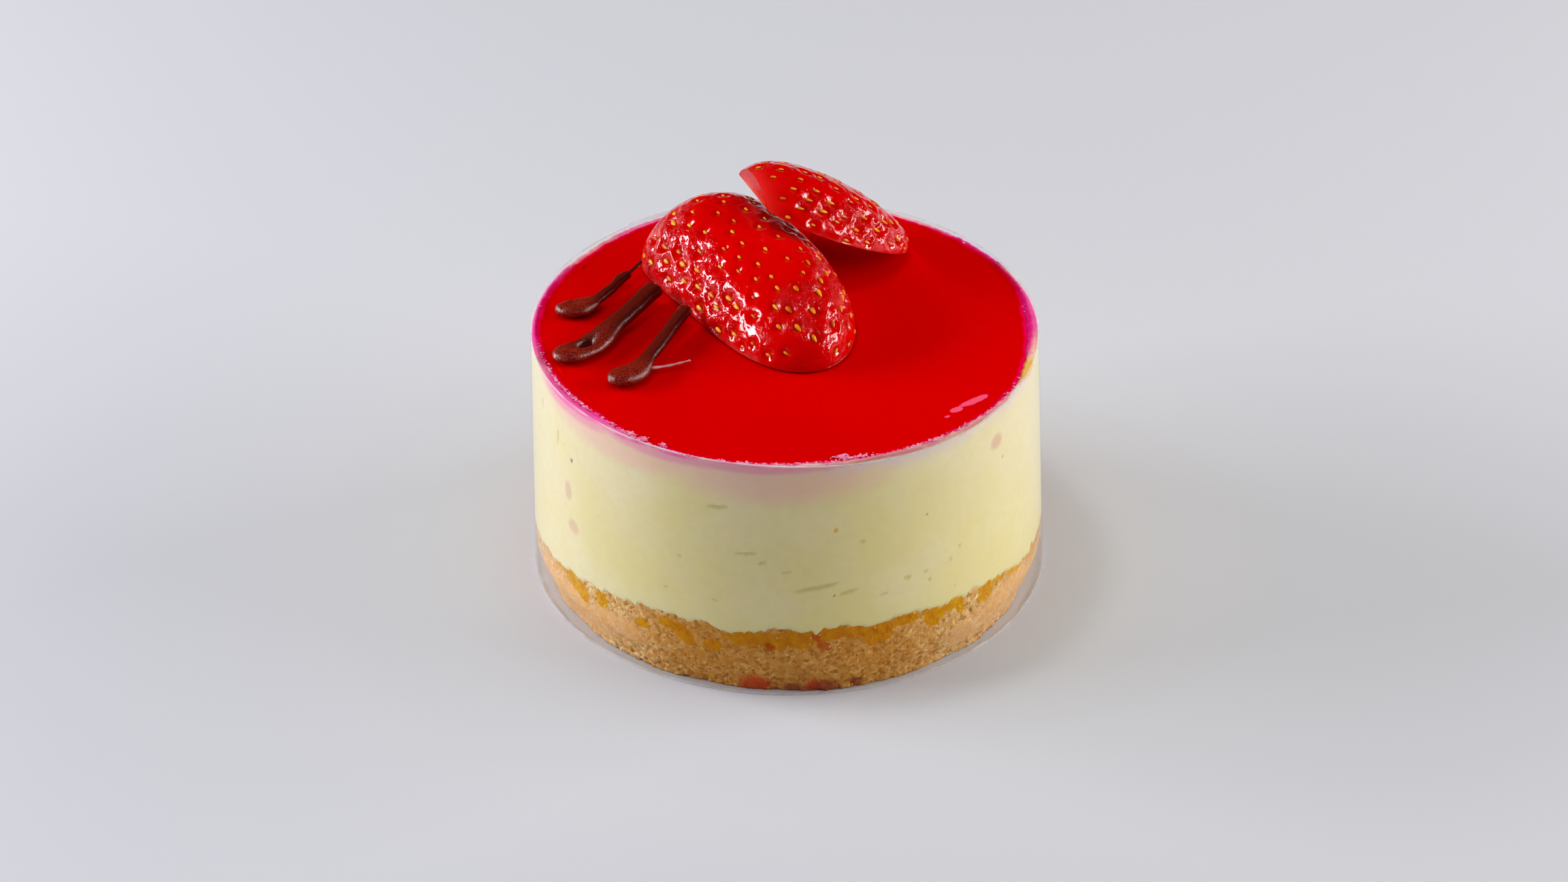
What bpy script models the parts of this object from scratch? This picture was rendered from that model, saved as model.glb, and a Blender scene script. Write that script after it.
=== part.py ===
"""A small strawberry cheesecake in its clear film collar.

A crumb base, a layer of cream cheese and a red jelly top stand in a strip of clear film.
Two strawberry halves and three strokes of chocolate lie on the jelly.
Each piece is a closed solid of its own. The origin is the middle of the underside,
+Z points up and -Y towards the front.
"""
import math

import bmesh
import bpy
from mathutils import Euler, Vector

MM = 0.001
GAP = 0.3 * MM               # kept between pieces that touch
SEGMENTS = 90                # facets round the cake

# The film collar: a strip wound once round the cake, whose ends lap at the back.
COLLAR_HEIGHT = 41.6 * MM
COLLAR_FOOT_RADIUS = 40.8 * MM
COLLAR_TOP_RADIUS = 39.8 * MM
COLLAR_WALL = 0.25 * MM
COLLAR_LEAN = -0.7 * MM      # the top ring stands this far to the side of the foot
LAP_START = 118.0            # degrees, where the strip starts and where it ends above its start
LAP_LENGTH = 11.0            # degrees of lap
LAP_EASE = 7.0               # degrees over which the strip steps out onto its lap

# The layers, bottom to top.
BASE_HEIGHT = 10.5 * MM      # crumb base, mean height at the side
BASE_SADDLE = 1.8 * MM       # it stands higher at front and back than at the sides
BASE_SADDLE_FLAT = 0.5 * MM
BASE_ROUNDING = 6.0 * MM     # the crumb draws in below this height
BASE_INSET = 1.7 * MM        # how far it draws in at the foot
BASE_INSET_SWING = 0.8 * MM  # less at the front, more at the sides
CREAM_RIM = 41.3 * MM        # the cream stands up round the jelly
JELLY_TOP = 41.0 * MM
JELLY_DEPTH = 1.9 * MM
JELLY_RADIUS = 38.0 * MM
JELLY_SHIFT = 0.35 * MM      # the jelly lies towards the back left of the cake
JELLY_SHIFT_HEADING = -160.0

# Uneven edges: waves round the cake as (count, height, phase in radians).
CRUMB_WAVES = ((5, 0.22 * MM, 0.4), (9, 0.2 * MM, 2.1), (14, 0.18 * MM, 4.4), (23, 0.16 * MM, 1.3))
FOOT_WAVES = ((3, 0.2 * MM, 1.0), (8, 0.18 * MM, 3.2), (19, 0.14 * MM, 0.2))
JELLY_WAVES = ((2, 0.1 * MM, 2.2), (7, 0.09 * MM, 0.7), (13, 0.07 * MM, 5.1), (21, 0.05 * MM, 2.9))
RIM_WAVES = ((4, 0.07 * MM, 0.3), (11, 0.06 * MM, 2.6), (17, 0.05 * MM, 4.0))

# Each strawberry half: its own frame has +X from the stalk end to the tip and its cut face at z = 0.
# broadest is the share of the length at which it is broadest, fullness how blunt its tip is.
# hull_at and hull_lean place the flat cut that took off the stalk.
FRONT_BERRY = {
    "length": 47.7 * MM, "half_width": 12.5 * MM, "height": 10.9 * MM,
    "broadest": 0.29, "fullness": 3.1, "bend": 1.9 * MM,
    "hull_at": -21.6 * MM, "hull_lean": 6.0, "hull_turn": 10.0,
    "place": (-5.95, 8.65, 41.3), "turn": (0.0, 0.0, -61.5),
}
BACK_BERRY = {
    "length": 31.7 * MM, "half_width": 10.2 * MM, "height": 5.8 * MM,
    "broadest": 0.44, "fullness": 1.65, "bend": 0.0 * MM,
    "hull_at": -13.4 * MM, "hull_lean": -24.0, "hull_turn": 6.0,
    "place": (5.4, 21.8, 48.8), "turn": (-4.4, 28.4, 14.2),
}
BERRY_RINGS = 20
BERRY_SIDES = 28
BERRY_LOBES = 0.03           # share of the radius that the three lobes add
BERRY_EDGE = 0.35 * MM       # rounding of the cut edges

# Each chocolate stroke starts in a dished drop and runs on as a bar that climbs to the front berry.
# start is in mm, headings in degrees; widths and depths are those of the drop and of the bar.
STROKES = (
    {"start": (-36.7, 4.0), "headings": (8.0, 57.0), "length": 19.6 * MM, "climb": 0.9 * MM,
     "drop": (6.9 * MM, 4.0 * MM, 2.2 * MM), "bar": (1.1 * MM, 1.0 * MM)},
    {"start": (-36.4, -10.2), "headings": (30.0, 58.0), "length": 24.4 * MM, "climb": 1.1 * MM,
     "drop": (8.6 * MM, 5.1 * MM, 2.3 * MM), "bar": (2.5 * MM, 1.8 * MM)},
    {"start": (-27.8, -16.9), "headings": (26.0, 67.0), "length": 22.9 * MM, "climb": 1.1 * MM,
     "drop": (6.4 * MM, 4.4 * MM, 2.4 * MM), "bar": (1.7 * MM, 1.5 * MM)},
)
STROKE_STATIONS = 15
STROKE_SIDES = 14
THREAD_RADIUS = 0.22 * MM    # the fine thread that runs off the last drop
THREAD_ROUTE = ((-22.9, -13.6, 42.3), (-20.9, -12.9, 42.0), (-18.6, -11.8, 41.7), (-16.9, -11.2, 41.8),
                (-15.2, -11.0, 42.2))

COLOURS = {
    "crumb": ((0.60, 0.36, 0.14), 0.85, 0.0),
    "cream": ((0.86, 0.80, 0.58), 0.45, 0.0),
    "jelly": ((0.62, 0.0, 0.01), 0.05, 0.0),
    "film": ((0.90, 0.91, 0.92), 0.05, 0.0),
    "strawberry": ((0.60, 0.01, 0.01), 0.18, 0.0),
    "chocolate": ((0.11, 0.035, 0.02), 0.35, 0.0),
}


def clear_scene():
    for old in list(bpy.data.objects):
        bpy.data.objects.remove(old, do_unlink=True)


def new_collection(name):
    group = bpy.data.collections.new(name)
    bpy.context.scene.collection.children.link(group)
    return group


def make_material(name):
    colour, roughness, metallic = COLOURS[name]
    material = bpy.data.materials.new(name)
    material.use_nodes = True
    shader = material.node_tree.nodes["Principled BSDF"]
    shader.inputs["Base Color"].default_value = (*colour, 1.0)
    shader.inputs["Roughness"].default_value = roughness
    shader.inputs["Metallic"].default_value = metallic
    return material


def add_object(name, mesh, group, material):
    piece = bpy.data.objects.new(name, mesh)
    piece.data.materials.clear()
    piece.data.materials.append(material)
    group.objects.link(piece)
    return piece


def evaluated_mesh(piece):
    """The piece's mesh with its modifiers applied."""
    graph = bpy.context.evaluated_depsgraph_get()
    return bpy.data.meshes.new_from_object(piece.evaluated_get(graph))


def waves(angle, terms):
    return sum(height * math.sin(count * angle + phase) for count, height, phase in terms)


def ease(share):
    """0 to 1 with a soft start and end."""
    share = min(max(share, 0.0), 1.0)
    return share * share * (3.0 - 2.0 * share)


# ---- sizes that follow from the collar ----

def collar_radius(height):
    """Outer radius of the film at a height."""
    return COLLAR_FOOT_RADIUS + (COLLAR_TOP_RADIUS - COLLAR_FOOT_RADIUS) * height / COLLAR_HEIGHT


def food_radius(height):
    """Radius of the food inside the film at a height."""
    return collar_radius(height) - COLLAR_WALL - GAP


def lean(height):
    return COLLAR_LEAN * height / COLLAR_HEIGHT


def crumb_top(angle, share):
    """Height of the crumb under the cream, at a share of the radius."""
    saddle = -BASE_SADDLE * math.cos(2.0 * angle) - BASE_SADDLE_FLAT * math.cos(4.0 * angle)
    return BASE_HEIGHT + share ** 2 * (saddle + waves(angle, CRUMB_WAVES))


def foot_inset(angle, height):
    """How far the crumb draws in from the film near the foot."""
    swing = BASE_INSET_SWING * math.cos(2.0 * angle)
    drawn = BASE_INSET + swing + waves(angle, FOOT_WAVES)
    return drawn * (1.0 - ease(height / BASE_ROUNDING))


def jelly_radius(angle):
    shift = JELLY_SHIFT * math.cos(angle - math.radians(JELLY_SHIFT_HEADING))
    return JELLY_RADIUS + shift + waves(angle, JELLY_WAVES)


# ---- the round layers ----

def turned(name, profile, group, material, rule):
    """Turn a profile of (radius, height) about Z, then move its points by a rule on the angle."""
    mesh = bpy.data.meshes.new(name + "_profile")
    points = [(radius, 0.0, height) for radius, height in profile]
    mesh.from_pydata(points, [(i, i + 1) for i in range(len(points) - 1)], [])
    blank = add_object(name + "_blank", mesh, group, material)
    screw = blank.modifiers.new("turn", "SCREW")
    screw.axis = "Z"
    screw.steps = SEGMENTS
    screw.render_steps = SEGMENTS
    screw.use_merge_vertices = True
    screw.merge_threshold = 0.000001
    body = evaluated_mesh(blank)
    bpy.data.objects.remove(blank, do_unlink=True)
    for vertex in body.vertices:
        x, y, height = vertex.co
        angle = math.atan2(y, x)
        radius, height = rule(angle, math.hypot(x, y), height)
        vertex.co = (radius * math.cos(angle) + lean(height), radius * math.sin(angle), height)
    body.shade_smooth()
    body.set_sharp_from_angle(angle=math.radians(40.0))
    return add_object(name, body, group, material)


def make_base(group):
    """Crumb base: flat underside, drawn-in foot, uneven top edge."""
    full = food_radius(BASE_HEIGHT)
    sides = [0.72, 0.45, 0.28, 0.14, 0.05, 0.0]
    profile = [(0.0, BASE_HEIGHT), (0.5 * full, BASE_HEIGHT), (0.85 * full, BASE_HEIGHT), (full, BASE_HEIGHT)]
    profile += [(full, share * BASE_HEIGHT) for share in sides]
    profile += [(0.8 * full, 0.0), (0.0, 0.0)]

    def rule(angle, radius, height):
        share = radius / full
        height *= crumb_top(angle, share) / BASE_HEIGHT
        return share * (food_radius(height) - foot_inset(angle, height)), height

    return turned("crumb_base", profile, group, make_material("crumb"), rule)


def make_cream(group):
    """Cream layer: it fills the collar down to the crumb and stands up round the jelly."""
    full = food_radius(CREAM_RIM)
    foot = BASE_HEIGHT + GAP
    pool = JELLY_RADIUS + GAP
    floor = JELLY_TOP - JELLY_DEPTH - GAP
    rim_middle = 0.5 * (pool + full)
    profile = [(0.0, floor), (0.5 * full, floor), (pool, floor), (pool, CREAM_RIM - 0.3 * MM)]
    profile += [(rim_middle, CREAM_RIM), (full, CREAM_RIM - 0.25 * MM), (full, 0.5 * (CREAM_RIM + foot))]
    profile += [(full, foot), (0.85 * full, foot), (0.5 * full, foot), (0.0, foot)]

    def rule(angle, radius, height):
        share = radius / full
        if height < foot + GAP:
            height = crumb_top(angle, share) + GAP
            return share * food_radius(height), height
        if height > floor + GAP:
            height += waves(angle, RIM_WAVES)
        side = food_radius(height)
        if radius <= pool + GAP:
            return radius / pool * (jelly_radius(angle) + GAP), height
        inner = jelly_radius(angle) + GAP
        return inner + (side - inner) * (radius - pool) / (full - pool), height

    return turned("cream_layer", profile, group, make_material("cream"), rule)


def make_jelly(group):
    """Jelly top: a flat pool with a rounded shoulder, inside the cream's rim."""
    low = JELLY_TOP - JELLY_DEPTH
    edge = 0.25 * MM
    profile = [(0.0, JELLY_TOP), (0.5 * JELLY_RADIUS, JELLY_TOP), (JELLY_RADIUS - 2.0 * edge, JELLY_TOP)]
    profile += [(JELLY_RADIUS, JELLY_TOP - edge), (JELLY_RADIUS, low), (0.5 * JELLY_RADIUS, low), (0.0, low)]

    def rule(angle, radius, height):
        return radius / JELLY_RADIUS * jelly_radius(angle), height

    return turned("jelly_layer", profile, group, make_material("jelly"), rule)


def make_collar(group):
    """Film collar: one closed strip whose last stretch steps out and laps over its start."""
    bm = bmesh.new()
    stations = SEGMENTS + 6
    sweep = 360.0 + LAP_LENGTH
    sections = []
    for index in range(stations + 1):
        turn = sweep * index / stations
        angle = math.radians(LAP_START + turn)
        step = (COLLAR_WALL + GAP) * ease((turn - (360.0 - LAP_EASE)) / LAP_EASE)
        section = []
        for outer, height in ((0, 0.0), (1, 0.0), (1, COLLAR_HEIGHT), (0, COLLAR_HEIGHT)):
            radius = collar_radius(height) - COLLAR_WALL * (1 - outer) + step
            spot = (radius * math.cos(angle) + lean(height), radius * math.sin(angle), height)
            section.append(bm.verts.new(spot))
        sections.append(section)
    skin_sections(bm, sections)
    return finish_loft("film_collar", bm, group, make_material("film"))


def skin_sections(bm, sections):
    """Join rings of points one to the next, and close both ends."""
    for first, second in zip(sections, sections[1:]):
        count = len(first)
        for i in range(count):
            j = (i + 1) % count
            bm.faces.new((first[i], first[j], second[j], second[i]))
    bm.faces.new(list(reversed(sections[0])))
    bm.faces.new(sections[-1])


def finish_loft(name, bm, group, material):
    bmesh.ops.recalc_face_normals(bm, faces=bm.faces)
    mesh = bpy.data.meshes.new(name)
    bm.to_mesh(mesh)
    bm.free()
    mesh.shade_smooth()
    mesh.set_sharp_from_angle(angle=math.radians(40.0))
    return add_object(name, mesh, group, material)


# ---- the strawberries ----

def berry_girth(share, berry):
    """Radius at a share of the length from the stalk end, as a share of the broadest radius."""
    broadest = berry["broadest"]
    if share < broadest:
        return math.sqrt(max(0.0, 1.0 - ((broadest - share) / broadest) ** 2.6))
    along = (share - broadest) / (1.0 - broadest)
    return max(0.0, 1.0 - along ** berry["fullness"]) ** 0.5


def cut_away(bm, point, outward):
    """Slice off what lies beyond a plane and close the cut."""
    everything = bm.verts[:] + bm.edges[:] + bm.faces[:]
    cut = bmesh.ops.bisect_plane(bm, geom=everything, plane_co=point, plane_no=outward,
                                 dist=0.00001, clear_outer=True)
    edges = [item for item in cut["geom_cut"] if isinstance(item, bmesh.types.BMEdge)]
    bmesh.ops.edgeloop_fill(bm, edges=edges)


def make_berry(name, berry, group, material):
    """Half a strawberry: a rounded body with its stalk end and one long side cut off flat."""
    bm = bmesh.new()
    bmesh.ops.create_uvsphere(bm, u_segments=BERRY_SIDES, v_segments=BERRY_RINGS, radius=1.0)
    for vertex in bm.verts:
        share = 0.5 * (1.0 - vertex.co.z)
        round_about = math.atan2(vertex.co.y, vertex.co.x)
        girth = berry_girth(share, berry) * (1.0 + BERRY_LOBES * math.cos(3.0 * round_about + 0.8))
        bend = berry["bend"] * math.sin(math.pi * share)
        vertex.co = (berry["length"] * (share - 0.5),
                     -berry["half_width"] * girth * math.cos(round_about) + bend,
                     berry["height"] * girth * math.sin(round_about))
    cut_away(bm, (0.0, 0.0, 0.0), (0.0, 0.0, -1.0))
    hull = Euler((0.0, math.radians(berry["hull_lean"]), math.radians(berry["hull_turn"])), "XYZ")
    outward = hull.to_matrix() @ Vector((-1.0, 0.0, 0.0))
    cut_away(bm, (berry["hull_at"], 0.0, 0.0), outward)
    piece = finish_loft(name, bm, group, material)
    rounding = piece.modifiers.new("rounded cut edges", "BEVEL")
    rounding.width = BERRY_EDGE
    rounding.segments = 2
    rounding.limit_method = "ANGLE"
    rounding.angle_limit = math.radians(50.0)
    piece.location = Vector(berry["place"]) * MM
    piece.rotation_euler = Euler([math.radians(turn) for turn in berry["turn"]], "XYZ")
    return piece


# ---- the chocolate ----

def rounded_section(width, depth, squareness, count):
    """Points of a rounded oblong about the origin: across, up."""
    points = []
    for index in range(count):
        turn = math.tau * (index + 0.5) / count
        across = math.copysign(abs(math.cos(turn)) ** (2.0 / squareness), math.cos(turn))
        up = math.copysign(abs(math.sin(turn)) ** (2.0 / squareness), math.sin(turn))
        points.append((0.5 * width * across, 0.5 * depth * up))
    return points


def stroke_route(stroke):
    """Middle line of a stroke as (point, heading, distance), turning and climbing as it goes."""
    drop_length, _, drop_depth = stroke["drop"]
    first, last = (math.radians(heading) for heading in stroke["headings"])
    x, y = (value * MM for value in stroke["start"])
    step = stroke["length"] / (STROKE_STATIONS - 1)
    route = []
    for index in range(STROKE_STATIONS):
        distance = index * step
        turned_share = ease((distance - 0.25 * drop_length) / (0.95 * drop_length))
        heading = first + (last - first) * turned_share
        past_drop = max(0.0, distance - 0.75 * drop_length) / (stroke["length"] - 0.75 * drop_length)
        height = JELLY_TOP + GAP + 0.5 * drop_depth + stroke["climb"] * past_drop ** 1.15
        route.append((Vector((x, y, height)), heading, distance))
        x += step * math.cos(heading)
        y += step * math.sin(heading)
    return route


def stroke_size(stroke, distance):
    """Width, depth and squareness of a stroke at a distance from its start."""
    drop_length, drop_width, drop_depth = stroke["drop"]
    bar_width, bar_depth = stroke["bar"]
    along = distance / drop_length
    if along < 0.5:
        swell = math.sqrt(max(0.12, 1.0 - (1.0 - 2.0 * along) ** 2))
        return drop_width * swell, drop_depth * (0.4 + 0.6 * swell), 2.3
    taper = ease((along - 0.5) / 0.55)
    width = drop_width + (bar_width - drop_width) * taper
    depth = drop_depth + (bar_depth - drop_depth) * taper
    return width, depth, 2.3 + 2.0 * taper


def make_stroke(name, stroke, group, material):
    bm = bmesh.new()
    sections = []
    for point, heading, distance in stroke_route(stroke):
        width, depth, squareness = stroke_size(stroke, distance)
        across = Vector((-math.sin(heading), math.cos(heading), 0.0))
        section = []
        for side, up in rounded_section(width, depth, squareness, STROKE_SIDES):
            section.append(bm.verts.new(point + across * side + Vector((0.0, 0.0, up))))
        sections.append(section)
    skin_sections(bm, sections)
    return finish_loft(name, bm, group, material)


def thread_mesh():
    """The fine chocolate thread as a closed tube."""
    curve = bpy.data.curves.new("thread", "CURVE")
    curve.dimensions = "3D"
    curve.bevel_depth = THREAD_RADIUS
    curve.bevel_resolution = 1
    curve.use_fill_caps = True
    spline = curve.splines.new("POLY")
    spline.points.add(len(THREAD_ROUTE) - 1)
    for point, spot in zip(spline.points, THREAD_ROUTE):
        point.co = (*(Vector(spot) * MM), 1.0)
    guide = bpy.data.objects.new("thread_guide", curve)
    bpy.context.scene.collection.objects.link(guide)
    mesh = evaluated_mesh(guide)
    bpy.data.objects.remove(guide, do_unlink=True)
    bm = bmesh.new()
    bm.from_mesh(mesh)
    bmesh.ops.remove_doubles(bm, verts=bm.verts, dist=0.000001)
    bm.to_mesh(mesh)
    bm.free()
    return mesh


def join_thread(stroke, cutters, material):
    """Make the thread one body with the stroke it runs off."""
    thread = add_object("thread_cutter", thread_mesh(), cutters, material)
    thread.hide_render = True
    thread.display_type = "WIRE"
    union = stroke.modifiers.new("thread", "BOOLEAN")
    union.operation = "UNION"
    union.solver = "EXACT"
    union.object = thread


def main():
    clear_scene()
    cake = new_collection("strawberry_cheesecake")
    cutters = new_collection("cutters")
    make_base(cake)
    make_cream(cake)
    make_jelly(cake)
    make_collar(cake)
    strawberry = make_material("strawberry")
    make_berry("front_berry", FRONT_BERRY, cake, strawberry)
    make_berry("back_berry", BACK_BERRY, cake, strawberry)
    chocolate = make_material("chocolate")
    strokes = [make_stroke(f"chocolate_stroke_{number}", stroke, cake, chocolate)
               for number, stroke in enumerate(STROKES, start=1)]
    join_thread(strokes[-1], cutters, chocolate)


main()
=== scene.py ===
import math

import bmesh
import bpy
import numpy as np
from mathutils import Euler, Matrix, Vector


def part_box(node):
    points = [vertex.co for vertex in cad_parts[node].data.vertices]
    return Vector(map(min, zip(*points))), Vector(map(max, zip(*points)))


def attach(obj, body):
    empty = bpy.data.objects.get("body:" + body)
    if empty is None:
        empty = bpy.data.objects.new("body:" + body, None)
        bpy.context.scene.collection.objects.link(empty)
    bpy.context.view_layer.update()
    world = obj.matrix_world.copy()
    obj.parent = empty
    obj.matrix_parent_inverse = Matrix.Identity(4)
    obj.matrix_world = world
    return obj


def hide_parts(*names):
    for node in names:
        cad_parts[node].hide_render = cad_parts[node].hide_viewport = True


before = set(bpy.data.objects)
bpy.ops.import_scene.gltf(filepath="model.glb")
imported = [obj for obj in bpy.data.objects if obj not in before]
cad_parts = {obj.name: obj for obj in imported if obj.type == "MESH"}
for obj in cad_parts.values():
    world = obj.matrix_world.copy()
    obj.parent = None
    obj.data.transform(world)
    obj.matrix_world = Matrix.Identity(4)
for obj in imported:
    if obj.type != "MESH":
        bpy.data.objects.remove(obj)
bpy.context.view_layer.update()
scene = bpy.context.scene
mm = 0.001
fullTurn = 2 * math.pi
print("frame loaded:", len(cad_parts), "nodes")


# small tools for shapes

def ease(share):
    share = np.clip(share, 0.0, 1.0)
    return share * share * (3 - 2 * share)


def wrapDegrees(value):
    return (value + 180) % 360 - 180


def ringPoints(angle, radius, height=0.0, lean=0.0):
    # points at a heading, radius and height round the upright axis
    spot = np.broadcast_arrays(radius * np.cos(angle) + lean, radius * np.sin(angle), height)
    return np.stack(spot, axis=-1)


def waves(angle, level, terms):
    # waves round the ring added to a level: height, count and phase of each
    for size, count, phase in terms:
        level = level + size * np.sin(count * angle + phase)
    return level


def hashValue(cell, seed):
    n = cell[..., 0] * 374761393 + cell[..., 1] * 668265263 + cell[..., 2] * 1440662683 + seed * 974711
    n = (n ^ (n >> 13)) * 1274126177
    n = n ^ (n >> 16)
    return (n & 65535) / 65535.0


def softNoise(points, cellSize, seed):
    # smooth random values from 0 to 1, the same each run
    place = np.asarray(points, dtype=float) / cellSize
    base = np.floor(place).astype(np.int64)
    part = place - base
    part = part * part * (3 - 2 * part)
    total = 0.0
    for corner in np.ndindex(2, 2, 2):
        weight = np.prod(np.where(np.array(corner) == 1, part, 1 - part), axis=-1)
        total = total + weight * hashValue(base + np.array(corner), seed)
    return total


def roughNoise(points, cellSize, seed, octaves=3):
    total, weight, whole = 0.0, 1.0, 0.0
    for octave in range(octaves):
        total = total + weight * softNoise(points, cellSize / 2 ** octave, seed + octave)
        whole += weight
        weight *= 0.55
    return total / whole


def gridQuads(rows, columns, start=0, wrap=False):
    # faces of a grid of rows x columns points, numbered row by row
    row, column = np.meshgrid(np.arange(rows - 1), np.arange(columns if wrap else columns - 1), indexing="ij")
    after = (column + 1) % columns
    corners = [row * columns + column, row * columns + after, (row + 1) * columns + after,
               (row + 1) * columns + column]
    return (np.stack(corners, axis=-1).reshape(-1, 4) + start).tolist()


def fan(ring, columns, hub):
    # faces from a closed ring of points to one point
    column = np.arange(columns)
    return np.stack([ring + column, ring + (column + 1) % columns, np.full(columns, hub)], axis=-1).tolist()


def closedTube(rows, columns):
    # faces of a wrapped grid with a point for each end, numbered after the grid
    hub = rows * columns
    foot = [[b, a, c] for a, b, c in fan(0, columns, hub)]
    return gridQuads(rows, columns, wrap=True) + foot + fan(hub - columns, columns, hub + 1)


def signedVolume(points, faces):
    total = 0.0
    for size in (3, 4):
        chosen = np.array([face for face in faces if len(face) == size])
        if len(chosen):
            for step in range(1, size - 1):
                a, b, c = (points[chosen[:, i]] for i in (0, step, step + 1))
                total += np.einsum("ij,ij->i", a, np.cross(b, c)).sum()
    return total


def newObject(name, data):
    thing = bpy.data.objects.new(name, data)
    scene.collection.objects.link(thing)
    return thing


def newMesh(name, points, faces, attributes):
    mesh = bpy.data.meshes.new(name)
    mesh.from_pydata(np.asarray(points).tolist(), [], faces)
    for label, values in attributes.items():
        values = np.asarray(values, dtype=np.float32)
        kind, field = ("FLOAT", "value") if values.ndim == 1 else ("FLOAT_VECTOR", "vector")
        mesh.attributes.new(label, kind, "POINT").data.foreach_set(field, values.ravel())
    return mesh


def makePiece(name, points, faces, look, attributes):
    # a closed mesh with its faces turned outwards
    if signedVolume(points, faces) < 0:
        faces = [face[::-1] for face in faces]
    mesh = newMesh(name, points, faces, attributes)
    mesh.materials.append(look)
    mesh.shade_smooth()
    return newObject(name, mesh)


def tubePiece(name, rings, ends, look, paints, endPaint=0.0):
    # a closed piece from rings of points and a point for each end, with paint on the rings
    rings = np.asarray(rings)
    paints = {label: np.append(np.ravel(values), [endPaint, endPaint]) for label, values in paints.items()}
    points = np.concatenate([rings.reshape(-1, 3), ends])
    return makePiece(name, points, closedTube(*rings.shape[:2]), look, paints)


def growPiece(name, mesh, tree, settings):
    # a piece made by a node tree, whose inputs are set by the sockets' identifiers, left as a plain mesh
    piece = newObject(name, mesh)
    grower = piece.modifiers.new(name, "NODES")
    grower.node_group = tree
    values = {inputName(key): value for key, value in settings.items()}
    for item in tree.interface.items_tree:
        if item.in_out == "INPUT" and item.name in values:
            grower[item.identifier] = values[item.name]
    graph = bpy.context.evaluated_depsgraph_get()
    mesh = bpy.data.meshes.new_from_object(piece.evaluated_get(graph))
    piece.modifiers.clear()
    piece.data = mesh
    mesh.name = name
    own = [look for look in mesh.materials if look]   # the empty slot of the bare start goes
    mesh.materials.clear()
    for look in own:
        mesh.materials.append(look)
    mesh.polygons.foreach_set("material_index", [0] * len(mesh.polygons))
    mesh.shade_smooth()
    return piece


def foldMesh(bm, mesh, foldAngle):
    # put the edited faces back, pointing outwards, smooth except over sharp folds
    bmesh.ops.recalc_face_normals(bm, faces=bm.faces)
    bm.to_mesh(mesh)
    bm.free()
    mesh.shade_smooth()
    mesh.set_sharp_from_angle(angle=math.radians(foldAngle))


# small tools for node trees; a node goes in the tree that its values belong to

def add(kind, values, tree=None, **settings):
    # a node with its settings, and its sockets set to a value or linked to another node's socket
    linked = [value for value in values.values() if isinstance(value, bpy.types.NodeSocket)]
    tree = tree or linked[0].id_data
    node = tree.nodes.new(kind)
    for label, value in settings.items():
        setattr(node, label, value)
    for label, value in values.items():
        if isinstance(value, bpy.types.NodeSocket):
            tree.links.new(value, node.inputs[label])
        else:
            node.inputs[label].default_value = value
    return node


def calc(operation, a, b=0.0):
    return add("ShaderNodeMath", {0: a, 1: b}, operation=operation).outputs[0]


def plus(a, b):
    return calc("ADD", a, b)


def minus(a, b):
    return calc("SUBTRACT", a, b)


def times(a, b):
    return calc("MULTIPLY", a, b)


def vectorCalc(operation, a, b):
    return add("ShaderNodeVectorMath", {0: a, 1: b}, operation=operation).outputs[0]


def scaled(vector, share):
    return add("ShaderNodeVectorMath", {0: vector, "Scale": share}, operation="SCALE").outputs[0]


def between(value, low, high, most=1.0, smooth=True):
    # 0 below low, most above high, in a smooth or a straight climb
    node = add("ShaderNodeMapRange", {"Value": value, "From Min": low, "From Max": high, "To Max": most})
    node.interpolation_type = "SMOOTHSTEP" if smooth else "LINEAR"
    return node.outputs["Result"]


def colourOf(value):
    # a screen colour from 0 to 255 as the shader's linear colour
    return (*((part / 255.0) ** 2.2 for part in value), 1.0) if isinstance(value, tuple) else value


def mix(share, first, second, mode="MIX"):
    values = {0: share, 6: colourOf(first), 7: colourOf(second)}
    return add("ShaderNodeMix", values, data_type="RGBA", blend_type=mode).outputs[2]


def layer(colour, cover, strength, tint):
    # a tint laid over a colour where the cover is
    return mix(times(cover, strength), colour, tint)


def ramp(value, stops):
    node = add("ShaderNodeValToRGB", {"Fac": value})
    elements = node.color_ramp.elements
    while len(elements) < len(stops):
        elements.new(0.5)
    for element, (place, colour) in zip(elements, stops.items()):
        element.position = place
        element.color = colourOf(colour)
    return node.outputs["Color"]


def paint(where, label):
    # a painted attribute, in the same tree as the coordinates
    return add("ShaderNodeAttribute", {}, where.id_data, attribute_name=label).outputs["Fac"]


def noise(where, scale, detail=2.0, roughness=0.5, output="Fac"):
    values = {"Vector": where, "Scale": scale, "Detail": detail, "Roughness": roughness}
    return add("ShaderNodeTexNoise", values).outputs[output]


def uneven(where, scale, detail, roughness, strength):
    # noise about zero
    return times(minus(noise(where, scale, detail, roughness), 0.5), strength)


def cells(where, scale, feature="F1"):
    return add("ShaderNodeTexVoronoi", {"Vector": where, "Scale": scale}, feature=feature).outputs


def redOf(colour):
    return add("ShaderNodeSeparateColor", {"Color": colour}).outputs[0]


def newLook(name, **fixed):
    # a material with one Principled shader, whose fixed values go straight on its sockets
    look = bpy.data.materials.new(name)
    look.use_nodes = True
    tree = look.node_tree
    shader = tree.nodes["Principled BSDF"]
    for label, value in fixed.items():
        shader.inputs[label.replace("_", " ")].default_value = value
    return look, shader, add("ShaderNodeTexCoord", {}, tree).outputs["Object"]


def dress(shader, colour, height=None, strength=0.0, distance=0.0):
    # the colour of a look, and the relief on it
    links = shader.id_data.links
    links.new(colour, shader.inputs["Base Color"])
    if height:
        bump = add("ShaderNodeBump", {"Height": height, "Strength": strength, "Distance": distance})
        links.new(bump.outputs["Normal"], shader.inputs["Normal"])


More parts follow.
